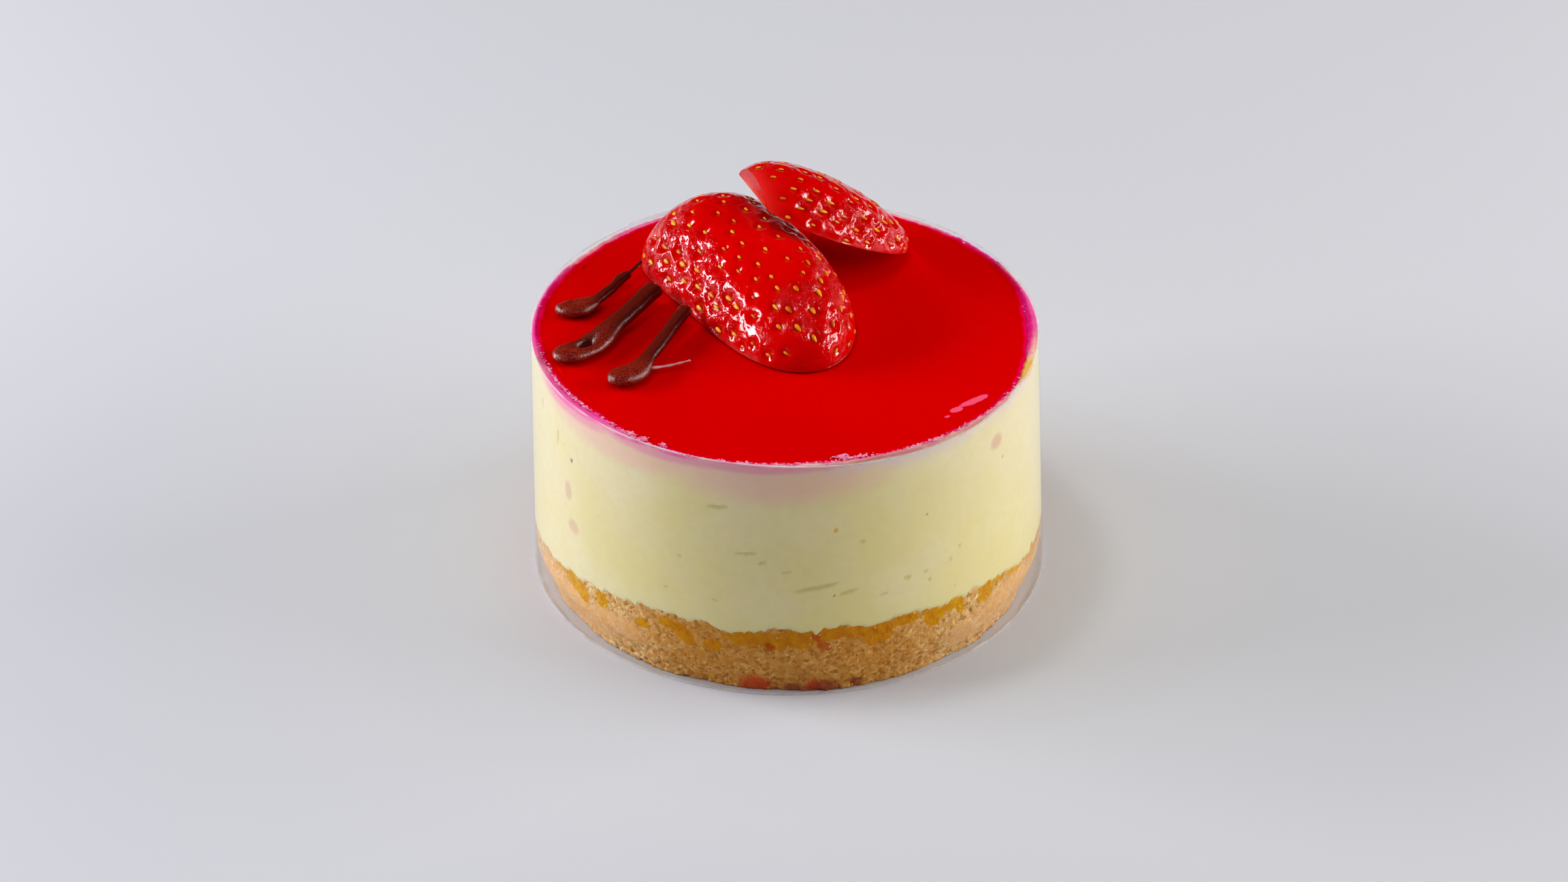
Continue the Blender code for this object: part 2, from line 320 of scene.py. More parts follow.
def seeThrough(share, colour, surface):
    # a surface that lets the rest of the light through
    tree = surface.id_data
    clear = add("ShaderNodeBsdfTransparent", {"Color": colour}, tree)
    mixed = add("ShaderNodeMixShader", {0: share, 1: clear.outputs[0], 2: surface.outputs[0]})
    tree.links.new(mixed.outputs[0], tree.nodes["Material Output"].inputs["Surface"])


def inputName(key):
    # the name of a node tree's input for a setting, such as Foot Radius for footRadius
    return "".join(" " + letter if letter.isupper() else letter for letter in key).title()


def newTree(name, settings, geometry=True):
    # a geometry tree with a named input for each setting, whole numbers apart, and the inputs by their keys
    tree = bpy.data.node_groups.new(name, "GeometryNodeTree")
    tree.interface.new_socket("Geometry", in_out="OUTPUT", socket_type="NodeSocketGeometry")
    kinds = {"geometry": "Geometry"} if geometry else {}
    kinds.update({key: "Int" if isinstance(value, int) else "Float" for key, value in settings.items()})
    for key, kind in kinds.items():
        tree.interface.new_socket(inputName(key), in_out="INPUT", socket_type="NodeSocket" + kind)
    outputs = tree.nodes.new("NodeGroupInput").outputs
    return tree, {key: outputs[inputName(key)] for key in kinds}


def stored(tree, label, kind="FLOAT"):
    return add("GeometryNodeInputNamedAttribute", {"Name": label}, tree, data_type=kind).outputs["Attribute"]


def randomVector(low, high, seed):
    return add("FunctionNodeRandomValue", {"Min": low, "Max": high, "Seed": seed},
               data_type="FLOAT_VECTOR").outputs[0]


def moved(geometry, label, place):
    return add("GeometryNodeSetPosition", {"Geometry": geometry, label: place}).outputs[0]


def planted(points, shape, turn, size):
    # a copy of the shape on each point
    return add("GeometryNodeInstanceOnPoints", {"Points": points, "Instance": shape, "Rotation": turn,
                                                "Scale": size}).outputs[0]


def real(geometry):
    return add("GeometryNodeRealizeInstances", {0: geometry}).outputs[0]


def endTree(geometry, look):
    done = add("GeometryNodeSetMaterial", {"Geometry": real(geometry), "Material": look}).outputs[0]
    add("NodeGroupOutput", {0: done})
    return done.id_data


# the looks

def makeCreamLook():
    look, shader, where = newLook(
        "paleCream", Roughness=0.38, Specular_IOR_Level=0.22, Subsurface_Weight=0.3,
        Subsurface_Radius=(1.0, 0.62, 0.3), Subsurface_Scale=2.2 * mm)
    colour = mix(between(noise(where, 70), 0.35, 0.65), (241, 228, 184), (238, 224, 164))
    colour = layer(colour, between(noise(where, 620, 3, 0.6), 0.4, 0.62), 0.3, (232, 218, 166))
    grid = cells(where, 235)
    dot = minus(1, between(grid["Distance"], 0.02, 0.08))
    speck = times(between(redOf(grid["Color"]), 0.8, 0.86), dot)
    colour = layer(colour, speck, 0.45, (158, 146, 90))
    # the air pockets are painted a darker olive, standing in for the shade in them
    colour = layer(colour, paint(where, "pocket"), 0.75, (216, 202, 130))
    colour = layer(colour, paint(where, "fleck"), 0.85, (96, 84, 60))
    ragged = uneven(where, 420, 4, 0.6, 0.8)
    soft = uneven(where, 160, 3, 0.6, 0.8)
    # blush is painted pinkish shade under the rim, brick a pink stain darkened by painted shade above the
    # film's edge, lavender a pale band under the film's edge, the rest stains
    for label, edge, high, most, tint in (
            ("pinkShade", soft, 1.3, 0.55, (246, 182, 186)), ("lavender", soft, 1.1, 0.9, (226, 204, 212)),
            ("pink", soft, 1.0, 0.95, (242, 164, 180)), ("shadedStain", ragged, 1.0, 0.9, (210, 112, 128)),
            ("magenta", soft, 1.0, 0.95, (240, 84, 166)), ("fuchsia", ragged, 0.9, 0.95, (226, 10, 118)),
            ("bruise", soft, 1.5, 0.7, (216, 158, 142)), ("orange", soft, 0.8, 0.85, (230, 176, 66))):
        amount = paint(where, label)
        amount = plus(amount, times(edge, between(amount, 0, 0.3)))
        colour = layer(colour, between(amount, 0, high), most, tint)
    # a warmer, darker tint painted on the cream's front and back sides, standing in for shade
    deep = mix(1.0, colour, (255, 254, 234), "MULTIPLY")
    colour = layer(colour, paint(where, "warmShade"), 0.8, deep)
    dress(shader, colour, minus(times(noise(where, 900, 3), 0.25), speck), 0.35, 0.2 * mm)
    return look


def makeCrumbLook():
    look, shader, where = newLook(
        "biscuitCrumb", Specular_IOR_Level=0.03, Subsurface_Weight=0.08, Subsurface_Radius=(1.0, 0.5, 0.2),
        Subsurface_Scale=1.0 * mm)
    grit = cells(mix(0.0006, where, noise(where, 900, output="Color"), "ADD"), 1900)
    pressed = paint(where, "pressed")
    tone = ramp(redOf(grit["Color"]), {0: (184, 126, 58), 0.25: (220, 166, 94), 0.55: (234, 182, 114),
                                       0.8: (240, 194, 134), 1: (252, 224, 168)})
    tone = layer(tone, between(noise(where, 260, 3, 0.6), 0.42, 0.6), 0.4, (206, 148, 68))
    smooth = mix(between(noise(where, 500, 3), 0.35, 0.65), (232, 174, 112), (236, 184, 132))
    tone = layer(tone, pressed, 0.75, smooth)
    crumbly = noise(where, 3200, 4, 0.65)
    dark = between(minus(1, crumbly), 0.54, 0.7)
    tone = layer(tone, dark, minus(0.6, times(pressed, 0.45)), (186, 122, 60))
    # the pits are painted darker brown, standing in for the shade in them
    tone = mix(between(paint(where, "pit"), 0.25, 1), tone, (178, 114, 56))
    tone = layer(tone, between(noise(where, 2600), 0.62, 0.72), 0.5, (250, 218, 164))
    ragged = uneven(where, 820, 6, 0.72, 2.6)
    butter = between(plus(paint(where, "butter"), ragged), 0.32, 0.5)
    gold = mix(between(noise(where, 700, 3, 0.6), 0.35, 0.65), (232, 172, 0), (218, 146, 0))
    gold = layer(gold, between(crumbly, 0.5, 0.62), 0.5, (188, 112, 0))
    tone = mix(butter, tone, gold)
    ember = between(plus(paint(where, "orange"), ragged), 0.5, 0.8)
    tone = layer(tone, ember, 0.85, (206, 96, 12))
    faint = times(ragged, 0.4)
    juice = plus(paint(where, "juice"), faint)
    tone = layer(tone, between(juice, 0, 0.9), 0.8, (232, 120, 66))
    tone = layer(tone, between(juice, 0.35, 1.4), 0.75, (222, 60, 58))
    tone = layer(tone, between(plus(paint(where, "plum"), faint), 0.2, 1.2), 0.7, (158, 58, 76))
    # a warmer, darker tint painted on the crumb's front, standing in for shade
    tone = layer(tone, paint(where, "frontShade"), 0.85, mix(1.0, tone, (246, 214, 140), "MULTIPLY"))
    shader.id_data.links.new(minus(0.72, times(butter, 0.32)), shader.inputs["Roughness"])
    lumps = plus(times(crumbly, 0.8), times(grit["Distance"], -0.7))
    dress(shader, tone, times(lumps, minus(1, times(pressed, 0.6))), 0.45, 0.25 * mm)
    return look


def makeGrainLook():
    look, shader, where = newLook("looseCrumb", Roughness=0.65, Specular_IOR_Level=0.2)
    tone = ramp(noise(where, 1300), {0.3: (206, 144, 80), 0.5: (230, 176, 116), 0.7: (244, 206, 154)})
    dress(shader, tone, noise(where, 5200, 3, 0.6), 0.6, 0.2 * mm)
    return look


def makeJellyLook():
    look, shader, where = newLook(
        "redJelly", Roughness=0.08, IOR=1.34, Specular_IOR_Level=0.02, Subsurface_Weight=1.0,
        Subsurface_Radius=(1.0, 0.03, 0.03), Subsurface_Scale=1.5 * mm)
    thin = plus(paint(where, "thin"), uneven(where, 500, 3, 0.5, 0.5))
    deep = mix(between(noise(where, 40, 1), 0.3, 0.7), (206, 0, 3), (200, 0, 4))
    colour = mix(between(thin, 0.35, 1), deep, (224, 8, 74))
    smear = plus(paint(where, "smear"), uneven(where, 800, 4, 0.6, 1.2))
    colour = mix(between(smear, 0.26, 0.56), colour, (226, 0, 66))
    colour = layer(colour, between(smear, 0.46, 0.74), 0.8, (240, 92, 124))
    dress(shader, colour, noise(where, 120, 1), 0.02, 0.5 * mm)
    return look


def makeFilmLook():
    # see-through, with a mirror share that grows towards grazing sight and is the same from both sides
    look, shader, where = newLook("clearFilm")
    tree = shader.id_data
    tree.nodes.remove(shader)
    tree.nodes.remove(where.node)
    gloss = add("ShaderNodeBsdfGlossy", {"Color": (1.0, 1.0, 1.0, 1.0), "Roughness": 0.06}, tree)
    facing = add("ShaderNodeLayerWeight", {"Blend": 0.5}, tree).outputs["Facing"]
    share = plus(0.004, times(calc("POWER", facing, 5), 0.7))
    seeThrough(share, (0.985, 0.99, 0.995, 1.0), gloss)
    return look


# whitish, partly see-through look for the film's cut edges and the thin bands along them: a painted highlight
def makeFilmEdgeHighlightLook():
    look, shader, where = newLook("highlitFilmEdge", Roughness=0.22, IOR=1.45)
    dress(shader, mix(noise(where, 300), (250, 246, 243), (214, 212, 216)))
    broken = between(noise(where, 210, 3), 0.3, 0.62)
    seeThrough(plus(0.08, times(broken, 0.45)), (1.0, 1.0, 1.0, 1.0), shader)
    return look


def makeSkinLook():
    look, shader, where = newLook(
        "strawberrySkin", Roughness=0.1, IOR=1.36, Coat_Weight=0.7, Coat_Roughness=0.03, Coat_IOR=1.45,
        Subsurface_Weight=0.7, Subsurface_Radius=(1.0, 0.04, 0.03), Subsurface_Scale=3.0 * mm)
    dimpled = paint(where, "dimple")
    colour = mix(between(noise(where, 90), 0.35, 0.65), (222, 0, 5), (212, 0, 4))
    colour = layer(colour, paint(where, "shoulder"), 0.8, (228, 62, 56))
    # the seed dimples are painted a darker red, standing in for the shade in them
    colour = layer(colour, dimpled, 0.5, (206, 12, 2))
    bent = vectorCalc("ADD", where, scaled(noise(where, 650, output="Color"), 1.1 * mm))
    furrow = between(cells(bent, 1900, "DISTANCE_TO_EDGE")["Distance"], 0, 0.16)
    relief = plus(times(furrow, 0.4), noise(bent, 1300, 3, 0.6))
    relief = times(relief, minus(1, times(dimpled, 0.85)))
    dress(shader, colour, times(relief, plus(0.06, times(paint(where, "dry"), 0.9))), 0.9, 0.42 * mm)
    return look


def makeFleshLook():
    look, shader, where = newLook(
        "strawberryFlesh", Roughness=0.3, IOR=1.4, Subsurface_Weight=0.2, Subsurface_Radius=(1.0, 0.3, 0.2),
        Subsurface_Scale=1.5 * mm)
    inward = plus(paint(where, "inward"), uneven(where, 700, 3, 0.5, 0.25))
    tone = ramp(inward, {0: (176, 0, 0), 0.25: (188, 0, 0), 0.5: (200, 16, 10), 0.75: (210, 48, 36),
                         1: (222, 92, 72)})
    dress(shader, tone, noise(where, 1600, 3), 0.4, 0.2 * mm)
    return look


def makeSeedLook():
    look, shader, where = newLook("strawberrySeed", Roughness=0.28, IOR=1.45)
    dress(shader, ramp(noise(where, 380, 1), {0.32: (206, 78, 10), 0.46: (232, 132, 14),
                                              0.6: (238, 168, 24), 0.74: (196, 140, 24)}))
    return look


def makeChocolateLook():
    look, shader, where = newLook("darkChocolate", Roughness=0.3, Specular_IOR_Level=0.9)
    grain = noise(where, 3300, 3, 0.6)
    drop = mix(between(grain, 0.4, 0.6), (88, 8, 4), (150, 40, 20))
    bar = mix(between(grain, 0.4, 0.66), (48, 0, 3), (74, 6, 6))
    # the bars are painted darker than the drops, standing in for shade on them
    tone = layer(drop, paint(where, "bar"), 0.92, bar)
    # the upper left side of each stroke is painted lighter brown, standing in for the light falling on it
    tone = layer(tone, paint(where, "litSide"), 0.4, (134, 38, 20))
    # the dip in the big drop is painted near black, standing in for the shade in it
    tone = mix(paint(where, "hollow"), tone, (62, 2, 4))
    # the thread is painted pinkish white, a painted sheen
    tone = layer(tone, paint(where, "pale"), 0.92, (214, 148, 156))
    dress(shader, tone, grain, 0.5, 0.22 * mm)
    return look


def makeFrothLook():
    look, shader, where = newLook("pinkFroth", Roughness=0.4, IOR=1.33)
    dress(shader, mix(between(noise(where, 900), 0.4, 0.6), (238, 160, 190), (226, 88, 136)))
    return look


creamLook = makeCreamLook()
crumbLook = makeCrumbLook()
grainLook = makeGrainLook()
jellyLook = makeJellyLook()
filmLook = makeFilmLook()
filmEdgeHighlightLook = makeFilmEdgeHighlightLook()
skinLook = makeSkinLook()
fleshLook = makeFleshLook()
seedLook = makeSeedLook()
chocolateLook = makeChocolateLook()
frothLook = makeFrothLook()
floorColour = colourOf((200, 202, 211))
floorLook = newLook("paleFloor", Roughness=0.8, Specular_IOR_Level=0.1, Base_Color=floorColour)[0]
print("looks made")


# the film collar, from a node tree

collar = {
    "height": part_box("film_collar")[1][2], "footRadius": 40.8 * mm, "topRadius": 39.8 * mm, "wall": 0.25 * mm,
    "lean": -0.7 * mm, "lapStart": 118.0, "lapLength": 11.0, "lapEase": 7.0, "lapStep": 0.55 * mm,
    "footLine": 0.3 * mm, "topLine": 0.15 * mm, "dip": 1.2 * mm, "dipHeading": 310.0, "dipWidth": 34.0,
    "stations": 520, "rows": 12,
}
filmFold = 40.0   # folds of the film sharper than this stay crisp


def filmTop(angle):
    # the film's upper edge dips a little at the front right
    gap = wrapDegrees(np.degrees(angle) - collar["dipHeading"])
    return collar["height"] - collar["dip"] * np.exp(-(gap / collar["dipWidth"]) ** 2)


def innerRadius(height):
    # inside of the film, where the food touches it
    taper = collar["topRadius"] - collar["footRadius"]
    return collar["footRadius"] + taper * height / collar["height"] - collar["wall"]


def leanAt(height):
    return collar["lean"] * height / collar["height"]


def filmTree():
    # the outer and inner faces, rolled from one flat sheet; its cut edges stay open
    tree, given = newTree("filmStrip", collar, geometry=False)
    sweep = plus(360, given["lapLength"])
    sheet = add("GeometryNodeMeshGrid", {"Size X": sweep, "Size Y": given["height"],
                                         "Vertices X": given["stations"], "Vertices Y": given["rows"]})
    position = add("GeometryNodeInputPosition", {}, tree).outputs[0]
    spot = add("ShaderNodeSeparateXYZ", {0: position}).outputs
    turn = plus(spot[0], times(sweep, 0.5))
    climb = plus(calc("DIVIDE", spot[1], given["height"]), 0.5)
    row = calc("DIVIDE", 1, minus(given["rows"], 1))
    lastRow = minus(1, row)
    gap = minus(plus(turn, given["lapStart"]), given["dipHeading"])
    gap = calc("POWER", calc("DIVIDE", gap, given["dipWidth"]), 2)
    fullHeight = minus(given["height"], calc("DIVIDE", given["dip"], calc("EXPONENT", gap)))
    pane = minus(minus(fullHeight, given["footLine"]), given["topLine"])
    height = between(climb, 0, row, given["footLine"], smooth=False)
    height = plus(height, between(climb, row, lastRow, pane, smooth=False))
    height = plus(height, between(climb, lastRow, 1, given["topLine"], smooth=False))
    share = calc("DIVIDE", height, given["height"])
    step = between(turn, minus(360, given["lapEase"]), 360, given["lapStep"])
    taper = times(minus(given["topRadius"], given["footRadius"]), share)
    radius = plus(plus(given["footRadius"], taper), step)
    angle = calc("RADIANS", plus(turn, given["lapStart"]))
    slide = times(given["lean"], share)
    shells = []
    for reach in (radius, minus(radius, given["wall"])):
        x = plus(times(reach, calc("COSINE", angle)), slide)
        y = times(reach, calc("SINE", angle))
        place = add("ShaderNodeCombineXYZ", {0: x, 1: y, 2: height}).outputs[0]
        shells.append(moved(sheet.outputs["Mesh"], "Position", place))
    inside = add("GeometryNodeFlipFaces", {"Mesh": shells[1]}).outputs[0]
    joined = add("GeometryNodeJoinGeometry", {0: shells[0]})
    tree.links.new(inside, joined.inputs[0])
    return endTree(joined.outputs[0], filmLook)


def makeFilm():
    piece = growPiece("filmStrip", bpy.data.meshes.new("filmStrip"), filmTree(), collar)
    mesh = piece.data
    mesh.materials.append(filmEdgeHighlightLook)
    bm = bmesh.new()
    bm.from_mesh(mesh)
    for face in bm.faces:   # the thin bands along the cut edges get the painted highlight
        middle = face.calc_center_median()
        top = filmTop(math.atan2(middle.y, middle.x - collar["lean"])) - collar["topLine"]
        if middle.z < collar["footLine"] or middle.z > top:
            face.material_index = 1
    count = len(bm.verts) // 2   # the outer face's points come first
    bm.verts.ensure_lookup_table()
    for edge in [edge for edge in bm.edges if edge.is_boundary and edge.verts[0].index < count]:
        a, b = edge.verts[0].index, edge.verts[1].index
        face = bm.faces.new([bm.verts[i] for i in (a, b, b + count, a + count)])
        face.material_index = 1
    foldMesh(bm, mesh, filmFold)
    return piece


film = makeFilm()
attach(film, "root")
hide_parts("film_collar")
print("film collar done")


# the crumb base

base = {
    "height": 10.5 * mm, "saddle": 1.8 * mm, "saddleFlat": 0.5 * mm, "rounding": 6.0 * mm,
    "inset": 1.5 * mm, "insetSwing": 0.8 * mm, "pitDepth": 0.45 * mm, "pitSize": 1.1 * mm,
    "gritDepth": 0.12 * mm, "gritSize": 0.42 * mm, "jag": 0.95 * mm, "toothSize": 1.5 * mm,
    "loneSize": 2.6 * mm, "fineSize": 0.7 * mm, "edgeDraw": 0.25 * mm, "filmGap": -0.03 * mm,
    "lidDrop": 0.4 * mm, "lidRings": (0.9, 0.6, 0.3),
    "around": 900, "rows": 52, "seed": 11,
    "topWaves": [(0.22 * mm, 5, 0.4), (0.2 * mm, 9, 2.1), (0.18 * mm, 14, 4.4), (0.16 * mm, 23, 1.3)],
    "footWaves": [(0.2 * mm, 3, 1.0), (0.18 * mm, 8, 3.2), (0.14 * mm, 19, 0.2)],
}
# paint on the side: heading and height of the middle, half width in degrees, half height,
# tilt in mm per degree
baseSpots = {
    "pressed": [(-150, 4, 22, 5, 0), (-131, 6, 9, 2.4, 0), (-30, 4.6, 17, 4.2, 0), (-47, 4, 6, 2.4, 0),
                (60, 5, 14, 3.5, 0), (140, 4.5, 16, 3.4, 0)],
    "butter": [
        (-160, 10.3, 5, 1.5, 0.05), (-152, 10.2, 5.5, 1.4, 0), (-145.5, 9.2, 4, 1.8, -0.12),
        (-142.2, 8, 2, 1.5, 0), (-136, 9.4, 2, 1.8, -0.2), (-124, 8.4, 1.9, 0.9, 0),
        (-116.8, 9.9, 2.8, 1, -0.1), (-113.3, 8.8, 2.4, 1.6, -0.3), (-106.8, 8, 2.4, 1.1, 0),
        (-99, 9.9, 5.5, 1.4, 0), (-93, 9.6, 4.6, 1.5, 0),
        (-87.5, 10.1, 5, 1.8, 0), (-81, 10.8, 4.6, 1.3, 0), (-75, 10.6, 4, 1.1, 0), (-69.8, 9.9, 4, 2.3, 0),
        (-63, 10.9, 3.6, 1, 0), (-56, 10.2, 3.1, 2.3, 0.1), (-50.5, 10.4, 3.2, 1.1, 0),
        (-48.6, 9.4, 1.4, 1.3, 0),
        (-40.3, 9.6, 3, 1.9, 0), (-35, 9.9, 2.2, 0.8, 0), (-27, 9.2, 5, 1, 0), (-16, 8.4, 6, 1.1, 0),
        (12, 8.5, 5, 1.5, 0), (37, 9.8, 7, 1.3, 0), (66, 11, 5, 1.8, 0), (92, 11.6, 8, 1.3, 0),
        (123, 9.8, 4, 2, 0), (150, 9.2, 7, 1.2, 0), (176, 8.2, 6, 1.1, 0)],
    "orange": [(-82.6, 8.8, 2, 1.1, -0.3), (-94, 8.6, 1.5, 0.8, 0), (-84, 10.6, 1.5, 0.7, 0)],
    "juice": [(-97.6, 0.2, 4.2, 2.9, 0), (-84.5, 0.4, 2.2, 2, 0)],
    "plum": [(-81.8, 0.9, 3.4, 1.5, 0), (-89, 0.6, 3, 1, 0), (-74.6, 0.8, 2, 0.9, 0)],
    # painted shade: a warmer, darker tint over the front
    "frontShade": [(-90, 5, 34, 30, 0)],
}


def spots(angle, height, places):
    # how far inside the nearest spot of a list each point lies, 1 at the middle and 0 outside
    total = np.zeros_like(angle)
    for heading, middle, halfWidth, halfHeight, tilt in places:
        across = wrapDegrees(np.degrees(angle) - heading)
        rise = height / mm - middle - tilt * across
        reach = (across / halfWidth) ** 2 + (rise / halfHeight) ** 2
        total = np.maximum(total, np.clip(1.35 - reach, 0.0, 1.0))
    return total


def crumbTop(angle, share):
    # height of the crumb under the cream
    shape = -base["saddle"] * np.cos(2 * angle) - base["saddleFlat"] * np.cos(4 * angle)
    return base["height"] + share ** 2 * waves(angle, shape, base["topWaves"])


def jaggedTop(angle):
    ring = ringPoints(angle, collar["footRadius"])
    teeth = roughNoise(ring, base["toothSize"], base["seed"], 3) - 0.5
    lone = np.clip(softNoise(ring, base["loneSize"], base["seed"] + 9) - 0.74, 0.0, 1.0) * 4
    fine = roughNoise(ring, base["fineSize"], base["seed"] + 4, 2) - 0.5
    return crumbTop(angle, 1) + base["jag"] * (1.8 * teeth + 0.7 * fine + lone)


def footInset(angle, height):
    drawn = base["inset"] + base["insetSwing"] * np.cos(2 * angle)
    return waves(angle, drawn, base["footWaves"]) * (1 - ease(height / base["rounding"]))


def makeBase():
    around, rows = base["around"], base["rows"]
    turn = np.arange(around) * fullTurn / around
    angle, share = np.meshgrid(turn, np.linspace(0, 1, rows))
    height = share * jaggedTop(angle)
    ring = ringPoints(angle, collar["footRadius"], height)
    paints = {label: spots(angle, height, places) for label, places in baseSpots.items()}
    pressed = paints["pressed"]
    lumps = roughNoise(ring, base["pitSize"], base["seed"] + 20, 3)
    grit = softNoise(ring, base["gritSize"], base["seed"] + 30)
    # the pits are sunk and painted darker as shade; near the foot the grit adds to them, so the crumb is also
    # painted darker towards the bottom
    pit = np.clip((lumps - 0.6) / 0.3, 0.0, 1.0) * (1 - 0.75 * pressed)
    low = 1 - ease(height / (0.6 * base["rounding"]))
    paints["pit"] = pit = np.clip(pit + 0.45 * low * grit, 0.0, 1.0)
    away = footInset(angle, height) + base["pitDepth"] * pit + base["gritDepth"] * grit * (1 - 0.7 * pressed)
    away = away + base["edgeDraw"] * ease((share - 0.97) / 0.03) + base["filmGap"]
    radius = innerRadius(height) - np.maximum(away, base["filmGap"])
    points = [ringPoints(angle, radius, height, leanAt(height)).reshape(-1, 3)]
    faces = gridQuads(rows, around, wrap=True)
    start = rows * around
    for level in (rows - 1, 0):   # the lid, then the flat foot
        rings, lid = [level * around], []
        for portion in base["lidRings"]:
            lift = crumbTop(turn, portion) - base["lidDrop"] if level else 0.0
            points.append(ringPoints(turn, radius[level] * portion, lift))
            rings.append(start)
            start += around
            inward = rings[-1] - rings[-2]
            lid += [[a, b, b + inward, a + inward] for a, b, _ in fan(rings[-2], around, start)]
        points.append(np.array([[0.0, 0.0, base["height"] - base["lidDrop"] if level else 0.0]]))
        lid += fan(rings[-1], around, start)
        start += 1
        faces += lid if level else [face[::-1] for face in lid]
    points = np.concatenate(points)
    spare = np.zeros(len(points) - rows * around)
    paints = {label: np.concatenate([values.ravel(), spare]) for label, values in paints.items()}
    return makePiece("crumbBase", points, faces, crumbLook, paints)


crumbBase = makeBase()
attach(crumbBase, "root")
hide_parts("crumb_base")
print("crumb base done")


# loose grains pressed into the side of the crumb

grains = {"density": 520000.0, "spacing": 0.85 * mm, "size": 0.3 * mm, "sunk": 0.2 * mm, "seed": 5}


def grainTree():
    tree, given = newTree("sideGrains", grains)
    normal = add("GeometryNodeInputNormal", {}, tree).outputs[0]
    upright = add("ShaderNodeSeparateXYZ", {0: normal}).outputs[2]
    onSide = calc("LESS_THAN", calc("ABSOLUTE", upright), 0.8)
    loose = minus(1, times(stored(tree, "pressed"), 0.8))
    scatter = add("GeometryNodeDistributePointsOnFaces", {
        "Mesh": given["geometry"], "Distance Min": given["spacing"], "Density Max": given["density"],
        "Seed": given["seed"], "Density Factor": times(onSide, loose)}, distribute_method="POISSON")
    stone = add("GeometryNodeMeshIcoSphere", {"Radius": given["size"], "Subdivisions": 1}).outputs[0]
    turn = randomVector((0.0, 0.0, 0.0), (6.283, 6.283, 6.283), given["seed"])
    size = randomVector((0.55, 0.55, 0.45), (1.25, 1.1, 0.95), plus(given["seed"], 1))
    drop = scaled(scatter.outputs["Normal"], times(given["sunk"], -1))
    points = moved(scatter.outputs["Points"], "Offset", drop)
    stones = real(planted(points, stone, turn, size))
    where = add("GeometryNodeInputPosition", {}, tree).outputs[0]
    push = scaled(vectorCalc("SUBTRACT", noise(where, 2600, 1, output="Color"), (0.5, 0.5, 0.5)), 0.35 * mm)
    aboveFloor = vectorCalc("MAXIMUM", vectorCalc("ADD", where, push), (-1.0, -1.0, 0.0))
    return endTree(moved(stones, "Position", aboveFloor), grainLook)


sideGrains = growPiece("sideGrains", crumbBase.data.copy(), grainTree(), grains)
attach(sideGrains, "root")
print("grains done:", len(sideGrains.data.polygons), "faces")


# the cream

cream = {
    "around": 840, "sideRows": 96, "overlap": 0.5 * mm, "rim": 41.3 * mm, "top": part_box("cream_layer")[1][2],
    "filmGap": 0.03 * mm, "footDraw": 0.96, "tuck": 0.12 * mm, "lipFall": 0.25 * mm, "rimDrop": 0.12 * mm,
    "lumps": 0.25 * mm, "lumpSize": 2.4 * mm, "crownFall": 0.28 * mm, "bubbly": 0.34 * mm,
    "bubbleSize": 0.6 * mm,
    "rimShares": (0.12, 0.3, 0.48, 0.66, 0.84, 1.0, 1.12), "seed": 40,
    "rimWaves": [(0.07 * mm, 4, 0.3), (0.06 * mm, 11, 2.6)],
}
jelly = {
    "top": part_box("jelly_layer")[1][2], "radius": 38.6 * mm, "edgeRough": 0.55, "edgeGrain": 1.6 * mm,
    "rise": 0.2 * mm, "riseWidth": 0.45 * mm, "thinWidth": 0.7 * mm, "around": 900, "seed": 60,
}
# air pockets against the film: heading, height, half length and half width in mm, tilt in degrees,
# depth in mm
airPockets = [
    (-83.6, 19.3, 3.9, 0.42, 11, 0.35), (-76.6, 18, 1.7, 0.34, 14, 0.3), (-90, 22.3, 0.9, 0.22, 5, 0.25),
    (-68.6, 16.5, 0.9, 0.25, 4, 0.25), (-98.8, 25.4, 1.9, 0.32, 8, 0.25), (-95.3, 23.9, 0.8, 0.3, 20, 0.25),
    (-105, 33.2, 2, 0.36, 8, 0.3), (-73.2, 26.8, 0.4, 0.3, 0, 0.35), (-58.2, 18.4, 0.5, 0.22, 30, 0.3),
    (-57.2, 16.7, 0.35, 0.3, 0, 0.35), (-62.7, 18.4, 0.8, 0.5, 0, 0.15), (-145.9, 31.1, 0.35, 0.3, 0, 0.3),
    (-152, 33.1, 0.3, 1.6, -6, 0.25), (-161, 35.5, 0.25, 1.4, -4, 0.25), (-114, 23, 0.4, 0.25, 0, 0.25),
    (-48.5, 20.5, 0.35, 0.3, 0, 0.25), (-51.2, 18.9, 0.35, 0.3, 0, 0.25), (-106, 16.2, 0.5, 0.25, 0, 0.2),
    (-117.5, 16.7, 0.35, 0.3, 0, 0.25), (-170, 22, 0.5, 1.2, 8, 0.25), (15, 24, 2.6, 0.4, 14, 0.3),
    (48, 30, 1.4, 0.35, -8, 0.3), (80, 20, 3, 0.45, 9, 0.35), (101, 28, 1, 0.3, 0, 0.3),
    (138, 22, 2.2, 0.4, -12, 0.3), (160, 31, 0.8, 0.4, 20, 0.3),
]
